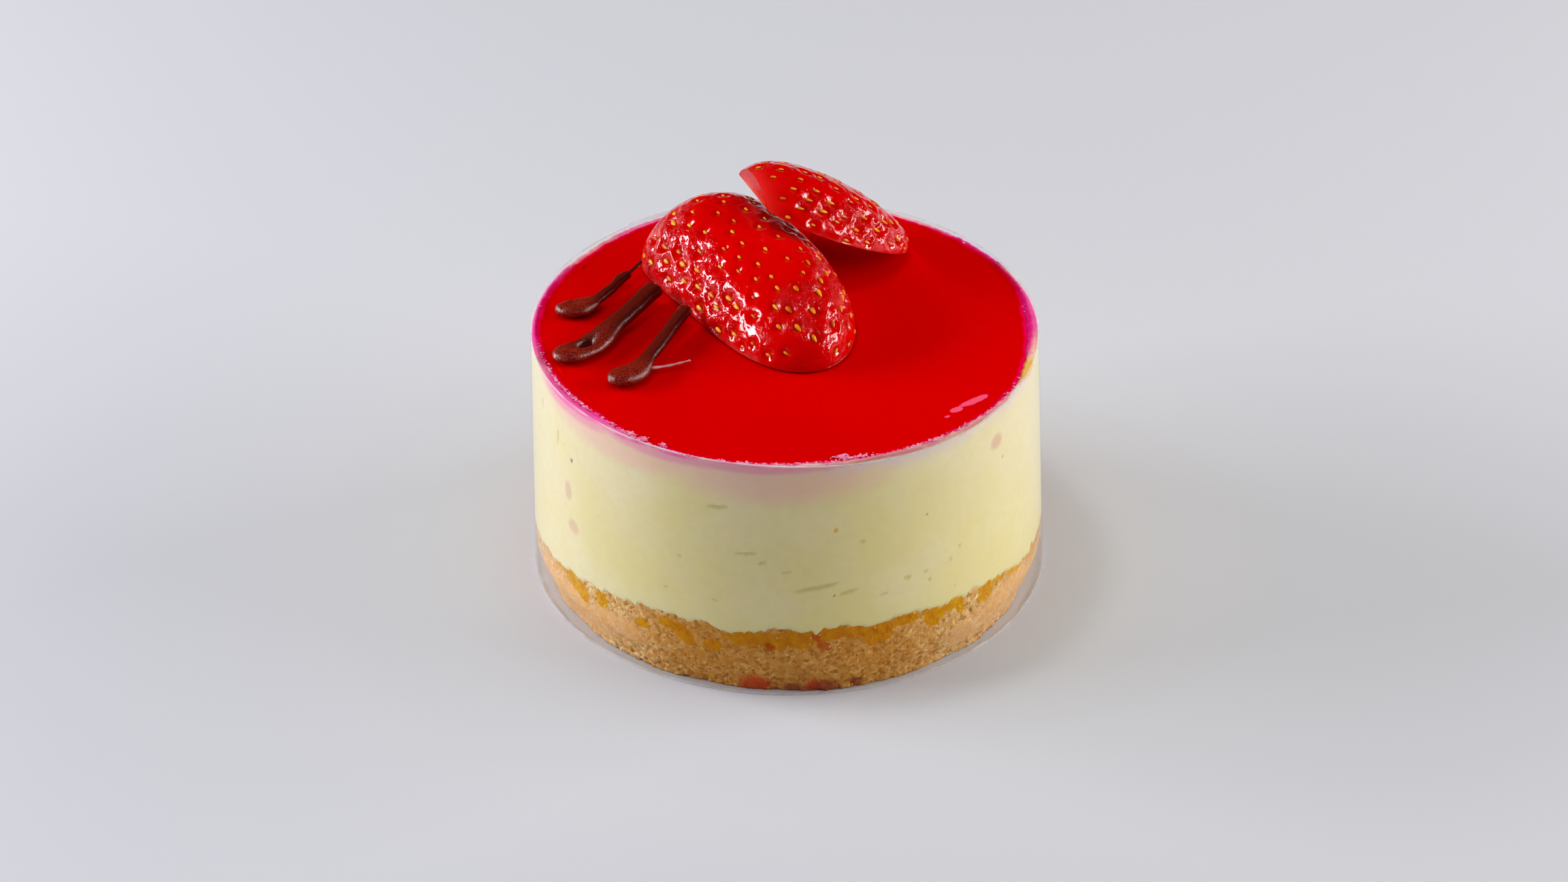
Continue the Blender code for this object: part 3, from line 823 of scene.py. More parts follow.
# stains and painted shade on the side: heading, height in mm, half width in degrees, half height, tilt in mm
# per degree
stainsAndShade = {
    "shadedStain": [], "lavender": [],
    "magenta": [(-147, 41.8, 13, 1.2, 0), (-128, 41.8, 9, 1.1, 0), (-115, 41.8, 8, 1.1, 0),
                (8, 41.8, 14, 1.6, 0), (78, 41.6, 16, 1.6, 0), (126, 41.5, 12, 1.6, 0)],
    "pink": [(-146, 41.2, 16, 2.1, 0), (-118, 41.2, 20, 1.8, 0), (-98, 41.2, 22, 1.5, 0), (5, 41, 16, 2, 0),
             (50, 41.2, 30, 1.8, 0), (120, 41.2, 40, 2, 0)],
    # painted pinkish shade under the rim
    "pinkShade": [(-92, 40.4, 30, 6.5, 0), (-130, 40.4, 30, 4.5, 0), (90, 40, 60, 4, 0)],
    "bruise": [(-35.5, 35.1, 2.4, 1.5, 0), (-145.6, 19.1, 2.4, 1.4, 0), (-147.5, 25, 1.6, 2, 0)],
    "orange": [(-17.5, 41.2, 4.5, 1, 0), (-79, 29.4, 0.55, 0.45, 0)],
    "fuchsia": [(6, 41.9, 14, 0.8, 0)],
    # painted shade: a warmer, darker tint over the front and back sides
    "warmShade": [(-90, 16, 42, 24, 0), (-38, 10, 34, 16, 0), (90, 16, 60, 26, 0)],
    "fleck": [(-145.9, 31.1, 0.5, 0.36, 0), (-79.7, 17.6, 0.3, 0.22, 0), (-57.5, 28.6, 0.2, 0.16, 0),
              (-33, 31.5, 0.2, 0.16, 0)],
}
# tints of the rim's top between film and jelly: heading, half width in degrees, strength
rimTints = {
    "magenta": [(174, 26, 1.2), (-146, 20, 1.3), (-128, 10, 1), (-116, 8, 0.9), (-101, 9, 0.6), (8, 18, 1.1),
                (38, 16, 0.9), (80, 26, 0.75), (126, 20, 0.7)],
    "pink": [(-176, 24, 0.9), (-134, 18, 0.9), (-98, 26, 0.9), (20, 40, 0.7), (110, 60, 0.8)],
    # a pink stain darkened by painted shade along the film's top edge
    "shadedStain": [(-64, 20, 1), (-38, 20, 1.05)],
    "lavender": [(-86, 10, 0.7), (52, 26, 0.7), (178, 14, 0.8)],
    "fuchsia": [(8, 20, 1.3), (40, 14, 1), (172, 20, 1.2), (-148, 14, 0.7)],
    "orange": [(-17, 4.5, 1)],
}
# pale lavender band painted on the cream just under the film's top edge: heading, half width in degrees,
# strength
lavenderBand = [(-60, 30, 1), (-28, 22, 1), (-95, 20, 0.5), (178, 18, 0.8), (60, 40, 0.5)]
# where the jelly's edge lies: heading and radius in mm
jellyEdge = [(-180, 38.65), (-170, 38.4), (-160, 38.15), (-145, 37.8), (-135, 37.9), (-124, 38.8),
             (-110, 39.05), (-90, 38.75), (-70, 38.8), (-50, 39.05), (-35, 39.1), (-25, 38.95), (-15, 38.3),
             (-5, 37.7), (8, 37.7), (16, 38.6), (24, 39), (60, 38.7), (90, 38.9), (120, 38.7), (150, 38.4),
             (165, 38.7), (180, 38.65)]


def belts(degrees, places):
    # how strongly the nearest stretch of the rim is touched at each heading
    total = np.zeros_like(degrees)
    for heading, half, strength in places:
        total = np.maximum(total, strength * np.exp(-(wrapDegrees(degrees - heading) / half) ** 2))
    return total


def jellyRadius(angle):
    headings, reaches = np.array(jellyEdge).T
    degrees = wrapDegrees(np.degrees(angle))
    blur = sum(np.interp(wrapDegrees(degrees + shift), headings, reaches) for shift in (-3, -1, 1, 3))
    rough = roughNoise(ringPoints(angle, jelly["radius"]), jelly["edgeGrain"], jelly["seed"], 3) - 0.5
    return (0.25 * blur + jelly["edgeRough"] * rough) * mm


def rimHeight(angle):
    lumps = roughNoise(ringPoints(angle, jelly["radius"]), cream["lumpSize"], cream["seed"] + 3, 3) - 0.5
    wavy = cream["rim"] + waves(angle, 0.0, cream["rimWaves"])
    return wavy + cream["lumps"] * lumps - cream["rimDrop"]


def pocketDepth(angle, height):
    depth, shown = np.zeros_like(angle), np.zeros_like(angle)
    filmInside = 40.2
    for heading, middle, halfLength, halfWidth, tilt, deep in airPockets:
        along = np.radians(wrapDegrees(np.degrees(angle) - heading)) * filmInside
        rise = height / mm - middle
        turn = math.radians(tilt)
        u = along * math.cos(turn) + rise * math.sin(turn)
        v = rise * math.cos(turn) - along * math.sin(turn)
        bow = 0.12 * halfWidth * np.sin(2.2 * u / halfLength)
        inside = np.clip(1 - (u / halfLength) ** 2 - ((v + bow) / halfWidth) ** 2, 0.0, 1.0)
        depth = np.maximum(depth, 0.5 * deep * mm * inside ** 0.5)
        shown = np.maximum(shown, ease(inside * 2.2))
    return depth, shown


def makeCream():
    turn = np.arange(cream["around"]) * fullTurn / cream["around"]
    degrees = np.degrees(turn)
    rings, paints = [], {label: [] for label in ("pocket", *stainsAndShade)}

    def ring(radius, height, pocket=0.0, top=None):
        rings.append(ringPoints(turn, radius, height, leanAt(height)))
        paints["pocket"].append(np.broadcast_to(pocket, turn.shape))
        below = filmTop(turn) - height
        for label, places in stainsAndShade.items():
            if top is not None:   # on the rim, where fuchsia keeps to the jelly's edge
                reach = ease((top - 0.2) / 0.5) if label == "fuchsia" else 0.85 + 0.15 * ease(top * 1.6)
                amount = belts(degrees, rimTints.get(label, [])) * reach
            # above the film: a pink stain darkened by painted shade of the film's top edge
            elif label == "shadedStain":   # bare above the film
                amount = belts(degrees, rimTints[label]) * ease(-below / (0.2 * mm))
            elif label == "lavender":
                deep = below / (1.7 * mm)
                amount = belts(degrees, lavenderBand) * np.where(deep > -0.05, np.exp(-deep), 0.0)
            else:
                amount = spots(turn, height, places)
            paints[label].append(amount)

    crumb, lip = jaggedTop(turn), rimHeight(turn)
    foot = crumb - cream["overlap"]
    ring(innerRadius(foot) * cream["footDraw"], foot - 0.1 * mm)
    for share in np.linspace(0, 1, cream["sideRows"]):
        height = foot + (lip - cream["lipFall"] - foot) * share
        depth, pocket = pocketDepth(turn, height)
        under = ease((crumb + 0.15 * mm - height) / (0.4 * mm))
        ring(innerRadius(height) + cream["filmGap"] - depth - cream["tuck"] * under, height, pocket)
    inner, outer = jellyRadius(turn), innerRadius(lip)
    ring(outer - cream["filmGap"], lip - 0.08 * mm, 0.0, 0.0)
    for share in cream["rimShares"]:
        radius = outer + (inner - outer) * share
        bubbly = roughNoise(ringPoints(turn, radius), cream["bubbleSize"], cream["seed"] + 7, 2) - 0.5
        crown = lip - cream["crownFall"] * ease((share - 0.5) / 0.6) + cream["bubbly"] * bubbly
        ring(radius, np.minimum(crown, cream["top"]), 0.0, share)
    ring(inner - 1.2 * mm, jelly["top"] - 0.9 * mm, 0.0, 1.2)
    ring(inner * 0.6, jelly["top"] - 1.1 * mm, 0.0, 1.2)
    ends = [[0.0, 0.0, base["height"] - 0.6 * mm], [0.0, 0.0, jelly["top"] - 1.1 * mm]]
    return tubePiece("creamLayer", rings, ends, creamLook, paints)


creamLayer = makeCream()
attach(creamLayer, "root")
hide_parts("cream_layer")
print("cream done:", len(creamLayer.data.polygons), "faces")


# the jelly

# low ridges at the edge of the jelly: heading, radius in mm, half length, half width, height in mm
ridges = [(-144.5, 36.6, 1.1, 0.25, 0.26), (-134, 36.7, 0.9, 0.24, 0.24), (-160.5, 36.7, 1.2, 0.3, 0.28),
          (149.6, 37.4, 0.6, 0.3, 0.2), (-118, 37.6, 0.6, 0.25, 0.2), (64, 36.8, 1.2, 0.28, 0.2)]
# thin places where the cream shows through: heading, radius in mm, half length, half width, turn in degrees
smears = [(-35.6, 35.7, 3.2, 0.8, 16), (-41.6, 35.1, 1.3, 0.7, 20), (-45.5, 35.4, 0.6, 0.3, 20),
          (112, 36.4, 2.6, 0.6, -14)]
# the top from the middle outwards as shares of the edge, then how far down and out the edge turns, in mm
jellyRings = np.concatenate([np.linspace(0.12, 0.84, 12), np.linspace(0.86, 0.985, 44)])
jellyTurnover = ((-0.2, 0.0), (0.25, 0.25), (1.0, 0.3))


def makeJelly():
    turn = np.arange(jelly["around"]) * fullTurn / jelly["around"]
    edge = jellyRadius(turn)
    lean = leanAt(jelly["top"])
    rings, paints = [], {"thin": [], "smear": []}

    def alongFrom(heading, radius):
        return np.radians(wrapDegrees(np.degrees(turn) - heading)) * radius

    def ring(radius, height, thin):
        rings.append(ringPoints(turn, radius, height, lean))
        smear = np.zeros(jelly["around"])
        for heading, middle, halfLength, halfWidth, tilt in smears:
            u, v = alongFrom(heading, middle), radius / mm - middle
            c, d = math.cos(math.radians(tilt)), math.sin(math.radians(tilt))
            reach = ((u * c + v * d) / halfLength) ** 2 + ((v * c - u * d) / halfWidth) ** 2
            smear = np.maximum(smear, np.clip(1.3 - reach, 0.0, 1.0))
        paints["thin"].append(np.broadcast_to(thin, turn.shape))
        paints["smear"].append(smear)

    for portion in jellyRings:
        radius = edge * portion
        height = jelly["top"]
        for heading, middle, halfLength, halfWidth, tall in ridges:
            u, v = alongFrom(heading, middle), radius / mm - middle
            height = height + tall * mm * np.exp(-(u / halfLength) ** 2 - (v / halfWidth) ** 2)
        left = edge - radius
        height = height + jelly["rise"] * np.exp(-left / jelly["riseWidth"])
        ring(radius, height, np.exp(-left / jelly["thinWidth"]) * (0.45 + 0.55 * np.abs(np.cos(turn))))
    for drop, out in jellyTurnover:
        ring(edge + out * mm, jelly["top"] - drop * mm, 1.0)
    ends = [[lean, 0.0, jelly["top"]], [lean, 0.0, jelly["top"] - 1.0 * mm]]
    return tubePiece("jellyTop", rings, ends, jellyLook, paints)


jellyTop = makeJelly()
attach(jellyTop, "root")
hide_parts("jelly_layer")
print("jelly done")


# froth on the rim

froth = {"bubbles": 1500, "smallest": 0.1, "largest": 0.24, "filmInside": 39.3, "lift": 0.06, "spread": 0.1}
bubble = {"flatness": 0.6, "seed": 21}
# how thick the froth lies round the rim: heading, half width in degrees, weight
frothBelts = [(-126, 12, 1), (-106, 14, 0.9), (-84, 16, 0.9), (-60, 18, 0.9), (-42, 12, 0.7), (-155, 14, 0.7),
              (95, 25, 0.3)]
# heaps of froth: heading, radius in mm, half length, half width, bubbles
frothHeaps = [(-128, 38.2, 1, 0.5, 60), (-124.2, 38.3, 0.9, 0.5, 40), (-118.8, 38.1, 0.7, 0.4, 30),
              (-76.6, 37.7, 1.1, 0.7, 80), (-73.2, 38.2, 2, 0.4, 50), (-10.2, 39, 0.9, 0.45, 40),
              (70, 38, 1.3, 0.5, 50)]


def frothSpots():
    random = np.random.default_rng(bubble["seed"])
    headings = random.uniform(-180, 180, froth["bubbles"] * 3)
    weight = np.maximum(belts(headings, frothBelts), 0.01)
    headings = headings[random.uniform(0, 1, len(headings)) < weight][:froth["bubbles"]]
    radius = jellyRadius(np.radians(headings)) / mm + random.normal(0.15, 0.16, len(headings))
    for middle, reach, halfLength, halfWidth, count in frothHeaps:
        along = random.normal(0.0, 0.5, count) * halfLength
        headings = np.concatenate([headings, middle + np.degrees(along / reach)])
        radius = np.concatenate([radius, reach + random.normal(0.0, 0.5, count) * halfWidth])
    radius = np.minimum(radius, froth["filmInside"])
    size = froth["smallest"] + (froth["largest"] - froth["smallest"]) * random.uniform(0, 1, len(radius)) ** 2
    height = jelly["top"] / mm + froth["lift"] + froth["spread"] * random.uniform(0, 1, len(radius))
    return ringPoints(np.radians(headings), radius, height, leanAt(jelly["top"]) / mm) * mm, size * mm


def bubbleTree():
    tree, given = newTree("rimFroth", bubble)
    ball = add("GeometryNodeMeshIcoSphere", {"Radius": 1.0, "Subdivisions": 2}, tree).outputs[0]
    stretch = randomVector((0.8, 0.8, 0.6), (1.5, 1.3, 1.0), given["seed"])
    flat = add("ShaderNodeCombineXYZ", {0: 1.0, 1: 1.0, 2: given["flatness"]}).outputs[0]
    size = vectorCalc("MULTIPLY", scaled(stretch, stored(tree, "size")), flat)
    turn = randomVector((0.0, 0.0, 0.0), (0.4, 0.4, 6.283), plus(given["seed"], 1))
    points = add("GeometryNodeMeshToPoints", {"Mesh": given["geometry"]}).outputs[0]
    return endTree(planted(points, ball, turn, size), frothLook)


places, sizes = frothSpots()
rimFroth = growPiece("rimFroth", newMesh("rimFroth", places, [], {"size": sizes}), bubbleTree(), bubble)
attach(rimFroth, "root")
print("froth done:", len(rimFroth.data.polygons), "faces")


# the strawberries, two halves that lie on their cut sides, in mm in each berry's own frame

frontHalf = {
    "name": "frontStrawberry", "node": "front_berry", "length": 47.7, "halfWidth": 12.5, "height": 10.9,
    "broadest": 0.29, "fullness": 3.1, "bend": 1.9, "hullAt": -21.6, "hullLean": 6, "hullTurn": 10,
    "place": (-5.95, 8.65, 41.3), "turn": (0, 0, -61.5), "stations": 250, "columns": 200,
    "wholeSeeds": 236, "seedSeed": 3,
    "dryAreas": [(0.14, 0.6, 0.13, 0.62), (0.36, 0.5, 0.17, 0.52), (0.58, 0.34, 0.16, 0.42),
                 (0.86, 1.75, 0.1, 0.8), (0.76, 2.4, 0.15, 0.5)],
}
backHalf = {
    "name": "backStrawberry", "node": "back_berry", "length": 31.7, "halfWidth": 10.2, "height": 5.8,
    "broadest": 0.44, "fullness": 1.65, "bend": 0.0, "hullAt": -13.4, "hullLean": -24, "hullTurn": 6,
    "place": (5.4, 21.8, 48.8), "turn": (-4.4, 28.4, 14.2), "stations": 200, "columns": 150,
    "wholeSeeds": 136, "seedSeed": 8,
    "dryAreas": [(0.36, 0.75, 0.13, 0.35), (0.62, 0.7, 0.16, 0.45), (0.84, 0.9, 0.1, 0.5)],
}
berryMesh = {"moonRows": 14, "longColumns": 24, "foldAngle": 50.0, "skinDrop": 0.12}
goldenTurn = 2.39996   # from each seed to the next round the berry
dimple = {"depth": 0.46, "radius": 1.0, "rim": 0.05, "rimAt": 1.5, "rimWidth": 0.45, "inside": 0.2}
seedSize = {"length": 1.35 * mm, "width": 0.74 * mm, "thickness": 0.5 * mm}


def turnMatrix(degrees):
    return np.array(Euler([math.radians(value) for value in degrees], "XYZ").to_matrix())


def berryGirth(share, berry):
    broadest = berry["broadest"]
    before = np.clip(1 - np.abs((broadest - share) / broadest) ** 2.6, 0.0, 1.0) ** 0.5
    after = np.clip(1 - np.abs((share - broadest) / (1 - broadest)) ** berry["fullness"], 0.0, 1.0) ** 0.5
    return np.where(share < broadest, before, after)


def skinPoint(share, about, berry):
    # a point of the skin, by its share of the length and its angle about the berry
    girth = berryGirth(share, berry) * (1 + 0.03 * np.cos(3 * about + 0.8))
    x = berry["length"] * (share - 0.5)
    y = -berry["halfWidth"] * girth * np.cos(about) + berry["bend"] * np.sin(math.pi * share)
    z = berry["height"] * girth * np.sin(about)
    return np.stack([x, y, z], axis=-1)


def pastHull(points, berry):
    # how far beyond the stalk cut each point lies
    outward = -turnMatrix((0, berry["hullLean"], berry["hullTurn"]))[:, 0]
    return (points - np.array([berry["hullAt"], 0.0, 0.0])) @ outward


def skinNormal(share, about, berry):
    nudge = 0.002
    ahead = np.clip(share + nudge, 0, 0.9999)
    alongWay = skinPoint(ahead, about, berry) - skinPoint(share - nudge, about, berry)
    roundWay = skinPoint(share, about + nudge, berry) - skinPoint(share, about - nudge, berry)
    normal = np.cross(alongWay, roundWay)
    normal /= np.maximum(np.linalg.norm(normal, axis=-1, keepdims=True), 1e-9)
    middle = skinPoint(share, about, berry) * np.array([0.0, 1.0, 1.0])
    return np.where(np.einsum("...i,...i->...", normal, middle)[..., None] < 0, -normal, normal)


def seedPlaces(berry):
    # seeds on an even spiral round the whole berry, of which the skin half is kept
    fine = np.linspace(0, 1, 2001)
    area = np.cumsum(berryGirth(fine, berry) + 0.12)
    area /= area[-1]
    numbers = np.arange(berry["wholeSeeds"])
    spot = np.stack([numbers * 7.3, numbers * 0.0, numbers * 0.0], axis=-1)
    jitter = softNoise(spot, 1.0, berry["seedSeed"]) - 0.5
    share = np.interp((numbers + 0.5 + 0.7 * jitter) / len(numbers), area, fine)
    about = (numbers * goldenTurn + 0.25 * jitter) % fullTurn
    shown = (about > 0.06) & (about < math.pi - 0.06) & (share < 0.992)
    shown &= pastHull(skinPoint(share, about, berry), berry) < -0.7
    return share[shown], about[shown]


def dryness(share, about, berry):
    # how far inside a wrinkled area of the skin each point lies
    total = np.zeros(share.shape)
    for place, turn, reach, spread in berry["dryAreas"]:
        gap = ((share - place) / reach) ** 2 + ((about - turn) / spread) ** 2
        total = np.maximum(total, np.clip(1.5 - gap, 0.0, 1.0))
    return total


def dimpleShape(points, seeds, size):
    # how deep each point of the skin lies, and how far inside a dimple it is
    deep, inside = np.zeros(len(points)), np.zeros(len(points))
    batch = 4000
    for start in range(0, len(points), batch):
        part = slice(start, start + batch)
        gap = np.linalg.norm(points[part, None, :] - seeds[None, :, :], axis=-1)
        hollow = (np.exp(-(gap / (dimple["radius"] * size)) ** 2) * size ** 1.5).max(axis=1)
        rim = np.exp(-((gap - dimple["rimAt"]) / dimple["rimWidth"]) ** 2).max(axis=1)
        deep[part] = dimple["depth"] * hollow - dimple["rim"] * rim
        inside[part] = np.clip(hollow * 1.6, 0.0, 1.0)
    return deep, inside


def berryToWorld(points, berry):
    return (points @ turnMatrix(berry["turn"]).T + np.array(berry["place"])) * mm


def makeBerry(berry):
    stations, columns, seed = berry["stations"], berry["columns"], berry["seedSeed"]
    about = np.linspace(0, math.pi, columns)
    fine = np.linspace(0, 0.6, 1201)
    # where the stalk cut crosses the skin
    start = np.array([fine[np.argmax(pastHull(skinPoint(fine, np.full_like(fine, value), berry), berry) < 0)]
                      for value in about])
    travel = np.sin(np.linspace(0, 0.5 * math.pi, stations + 1)[:-1])
    share = start + (1 - start) * travel[:, None]
    rounds = np.broadcast_to(about, share.shape)
    flat = skinPoint(share, rounds, berry).reshape(-1, 3)
    normal = skinNormal(np.clip(share, 0.003, 0.9975), rounds, berry)
    seedShare, seedAbout = seedPlaces(berry)
    seeds = skinPoint(seedShare, seedAbout, berry)
    seedScale = 0.78 + 0.42 * dryness(seedShare, seedAbout, berry)
    deep, inside = dimpleShape(flat, seeds, seedScale)
    dry = dryness(share, rounds, berry).ravel()
    wrinkles = (roughNoise(flat, 1.5, seed + 50, 3) - 0.35) * (0.2 + 0.65 * dry)
    fade = np.minimum(ease(np.sin(rounds) * 9), 1.0).ravel() * ease((share - start) * 40).ravel()
    level = berryMesh["skinDrop"] + (deep + wrinkles) * fade
    shaped = (flat - normal.reshape(-1, 3) * level[:, None]).reshape(stations, columns, 3)
    shaped[:, [0, -1], 2] = 0.0
    faces = gridQuads(stations, columns)
    tipAt = stations * columns
    last = tipAt - columns
    faces += [[last + i, last + i + 1, tipAt] for i in range(columns - 1)]
    skinCount = len(faces)
    # the stalk cut, a half-moon between the skin's first ring and its chord
    ring = shaped[0]
    chord = ring[0] + (ring[-1] - ring[0]) * np.linspace(0, 1, columns)[:, None]
    portion = np.linspace(0, 1, berryMesh["moonRows"])[:, None]
    moon = ring + (chord - ring) * portion[:, :, None]
    moonAt = tipAt + 1
    faces += [face[::-1] for face in gridQuads(berryMesh["moonRows"], columns, moonAt)]
    # the long cut, flat from rim to rim
    rimA, rimB = shaped[:, :1], shaped[:, -1:]
    across = np.linspace(0, 1, berryMesh["longColumns"])
    long = rimA + (rimB - rimA) * across[None, :, None]
    longAt = moonAt + berryMesh["moonRows"] * columns
    faces += [face[::-1] for face in gridQuads(stations, len(across), longAt)]
    last = longAt + (stations - 1) * len(across)
    faces += [[last + i + 1, last + i, tipAt] for i in range(len(across) - 1)]
    tip = [[0.5 * berry["length"] - 0.15, 0.0, 0.4]]
    points = np.concatenate([shaped.reshape(-1, 3), tip, moon.reshape(-1, 3), long.reshape(-1, 3)])

    def onSkin(values):
        return np.concatenate([np.clip(values, 0.0, 1.0), np.zeros(len(points) - tipAt)])

    moonEdge = np.minimum(portion, np.sin(about) * 1.2)
    sideways = (1 - np.abs(2 * across - 1)) * 1.5
    lengthways = np.sin(np.linspace(0, math.pi, stations))[:, None] * 1.3
    inward = np.concatenate([moonEdge.ravel(), np.minimum(sideways, lengthways).ravel()])
    nearCut = np.exp(-(share - start) / 0.035).ravel()
    low = np.exp(-np.sin(rounds) / 0.05).ravel()
    patchy = roughNoise(flat, 2.2, seed + 80, 2)
    paints = {"dimple": onSkin(inside * fade), "shoulder": onSkin(0.6 * nearCut + 0.2 * low),
              "dry": onSkin(dry * (0.4 + 1.2 * patchy)),
              "inward": np.concatenate([np.zeros(moonAt), np.clip(inward, 0.0, 1.0)])}
    piece = makePiece(berry["name"], berryToWorld(points, berry), faces, skinLook, paints)
    piece.data.materials.append(fleshLook)
    piece.data.polygons.foreach_set("material_index", np.arange(len(faces)) >= skinCount)
    weld(piece)
    outwards = skinNormal(seedShare, seedAbout, berry)
    sunk = berryMesh["skinDrop"] + dimple["depth"] * seedScale ** 1.5 - dimple["inside"]
    return piece, seeds - outwards * sunk[:, None], outwards, seedScale


def weld(piece):
    # close the seams between skin and cuts
    bm = bmesh.new()
    bm.from_mesh(piece.data)
    bmesh.ops.remove_doubles(bm, verts=bm.verts, dist=0.001 * mm)
    bmesh.ops.dissolve_degenerate(bm, edges=bm.edges, dist=0.0005 * mm)
    foldMesh(bm, piece.data, berryMesh["foldAngle"])


def seedTree():
    tree, given = newTree("berrySeeds", {**seedSize, "seed": 0})
    ball = add("GeometryNodeMeshUVSphere", {"Segments": 10, "Rings": 7, "Radius": 0.5}, tree).outputs[0]
    position = add("GeometryNodeInputPosition", {}, tree).outputs[0]
    x, y, z = add("ShaderNodeSeparateXYZ", {0: position}).outputs
    pointed = minus(1, times(plus(x, 0.5), 0.5))
    shape = add("ShaderNodeCombineXYZ", {0: times(x, given["length"]),
                                         1: times(times(y, given["width"]), pointed),
                                         2: times(times(z, given["thickness"]), pointed)}).outputs[0]
    standing = add("FunctionNodeAlignRotationToVector", {"Vector": stored(tree, "outward", "FLOAT_VECTOR")},
                   axis="Z").outputs[0]
    along = stored(tree, "along", "FLOAT_VECTOR")
    facing = add("FunctionNodeAlignRotationToVector", {"Rotation": standing, "Vector": along},
                 axis="X", pivot_axis="Z").outputs[0]
    size = randomVector((0.8, 0.8, 0.85), (1.12, 1.15, 1.1), given["seed"])
    points = add("GeometryNodeMeshToPoints", {"Mesh": given["geometry"]}).outputs[0]
    size = scaled(size, stored(tree, "size"))
    return endTree(planted(points, moved(ball, "Position", shape), facing, size), seedLook)


def makeSeeds(berry, places, normals, scales):
    turn = turnMatrix(berry["turn"])
    outward = normals @ turn.T
    stamps = {"outward": outward, "along": np.broadcast_to(turn[:, 0], outward.shape), "size": scales}
    name = berry["name"] + "Seeds"
    mesh = newMesh(name, berryToWorld(places, berry), [], stamps)
    return growPiece(name, mesh, sharedSeedTree, {**seedSize, "seed": berry["seedSeed"]})


sharedSeedTree = seedTree()
for berry in (frontHalf, backHalf):
    strawberry, seedSpots, seedNormals, seedScales = makeBerry(berry)
    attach(strawberry, "root")
    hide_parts(berry["node"])
    seeds = makeSeeds(berry, seedSpots, seedNormals, seedScales)
    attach(seeds, "root")
    print(berry["name"], "done:", len(strawberry.data.polygons), "faces,", len(seedSpots), "seeds")


# the chocolate strokes, in mm: start, first and last heading, share of the drop where the neck starts and its
# length, the drop's length, width and depth, the bar's width and depth, a dip's place along and across, its
# length, width and depth, the radius of a hole, where the tail thins and by how much

strokes = [
    {"start": (-36.7, 4.0), "headings": (8, 57), "length": 19.6, "climb": 0.9, "uneven": 0.5,
     "neck": (0.6, 0.6), "drop": (6.9, 4.0, 2.2), "bar": (1.6, 1.2), "dip": (3.3, 0.2, 1.3, 0.8, 0.5),
     "hole": 0, "tail": (0.78, 0.7)},
    {"start": (-36.4, -10.2), "headings": (30, 58), "length": 24.4, "climb": 1.1, "uneven": 0.25,
     "neck": (0.75, 0.95), "drop": (8.6, 5.0, 2.3), "bar": (3.0, 1.95), "dip": (6.2, 0.5, 2.4, 1.3, 1.8),
     "hole": 0.95, "tail": (1.0, 0.0)},
    {"start": (-27.8, -16.9), "headings": (26, 67), "length": 22.9, "climb": 1.1, "uneven": 0.25,
     "neck": (0.6, 0.9), "drop": (6.4, 4.4, 2.4), "bar": (2.2, 1.65), "dip": (3.6, -0.3, 1.3, 0.8, 0.35),
     "hole": 0, "tail": (1.0, 0.0)},
]
strokeMesh = {"stations": 190, "sides": 72, "grain": 0.035, "gap": 0.05, "lowest": 0.01, "seed": 90}
# the fine thread that runs off the last drop, thinner towards its end
thread = {
    "route": [(-22.9, -13.6, 42.3), (-20.9, -12.9, 42.0), (-18.6, -11.8, 41.7), (-16.9, -11.2, 41.8),
              (-15.2, -11.0, 42.2)],
    "radius": 0.26, "taper": 0.13, "tip": 0.03, "stations": 60, "sides": 16, "smoothing": 6,
}


def strokeRoute(stroke):
    dropLength, _, dropDepth = stroke["drop"]
    first, last = np.radians(stroke["headings"])
    distance = np.linspace(0, stroke["length"], strokeMesh["stations"])
    heading = first + (last - first) * ease((distance - 0.25 * dropLength) / (0.95 * dropLength))
    step = distance[1] - distance[0]
    x, y = (begin + np.append(0.0, np.cumsum(way(heading[:-1]) * step))
            for begin, way in zip(stroke["start"], (np.cos, np.sin)))
    past = np.clip(distance - 0.75 * dropLength, 0.0, None) / (stroke["length"] - 0.75 * dropLength)
    z = jelly["top"] / mm + strokeMesh["gap"] + 0.5 * dropDepth + stroke["climb"] * past ** 1.15
    return np.stack([x, y, z], axis=-1), heading, distance


def strokeSize(stroke, distance):
    dropLength, dropWidth, dropDepth = stroke["drop"]
    barWidth, barDepth = stroke["bar"]
    neckAt, neckLong = stroke["neck"]
    tailAt, thinner = stroke["tail"]
    along = distance / dropLength
    swell = np.sqrt(np.clip(1 - np.abs(1 - 2 * along) ** 2.5, 0.0, 1.0))
    taper = ease((along - neckAt) / neckLong)
    thin = 1 - thinner * ease((distance / stroke["length"] - tailAt) / 0.07)
    barWidth, barDepth = barWidth * thin, barDepth * thin ** 0.6
    width = np.where(along < 0.5, dropWidth * swell, dropWidth + (barWidth - dropWidth) * taper)
    depth = np.where(along < 0.5, dropDepth * swell ** 0.7, dropDepth + (barDepth - dropDepth) * taper)
    return width[:, None], depth[:, None], taper[:, None]


def squared(wave, power):
    # a sine or cosine pushed towards a square section
    return np.sign(wave) * np.abs(wave) ** power


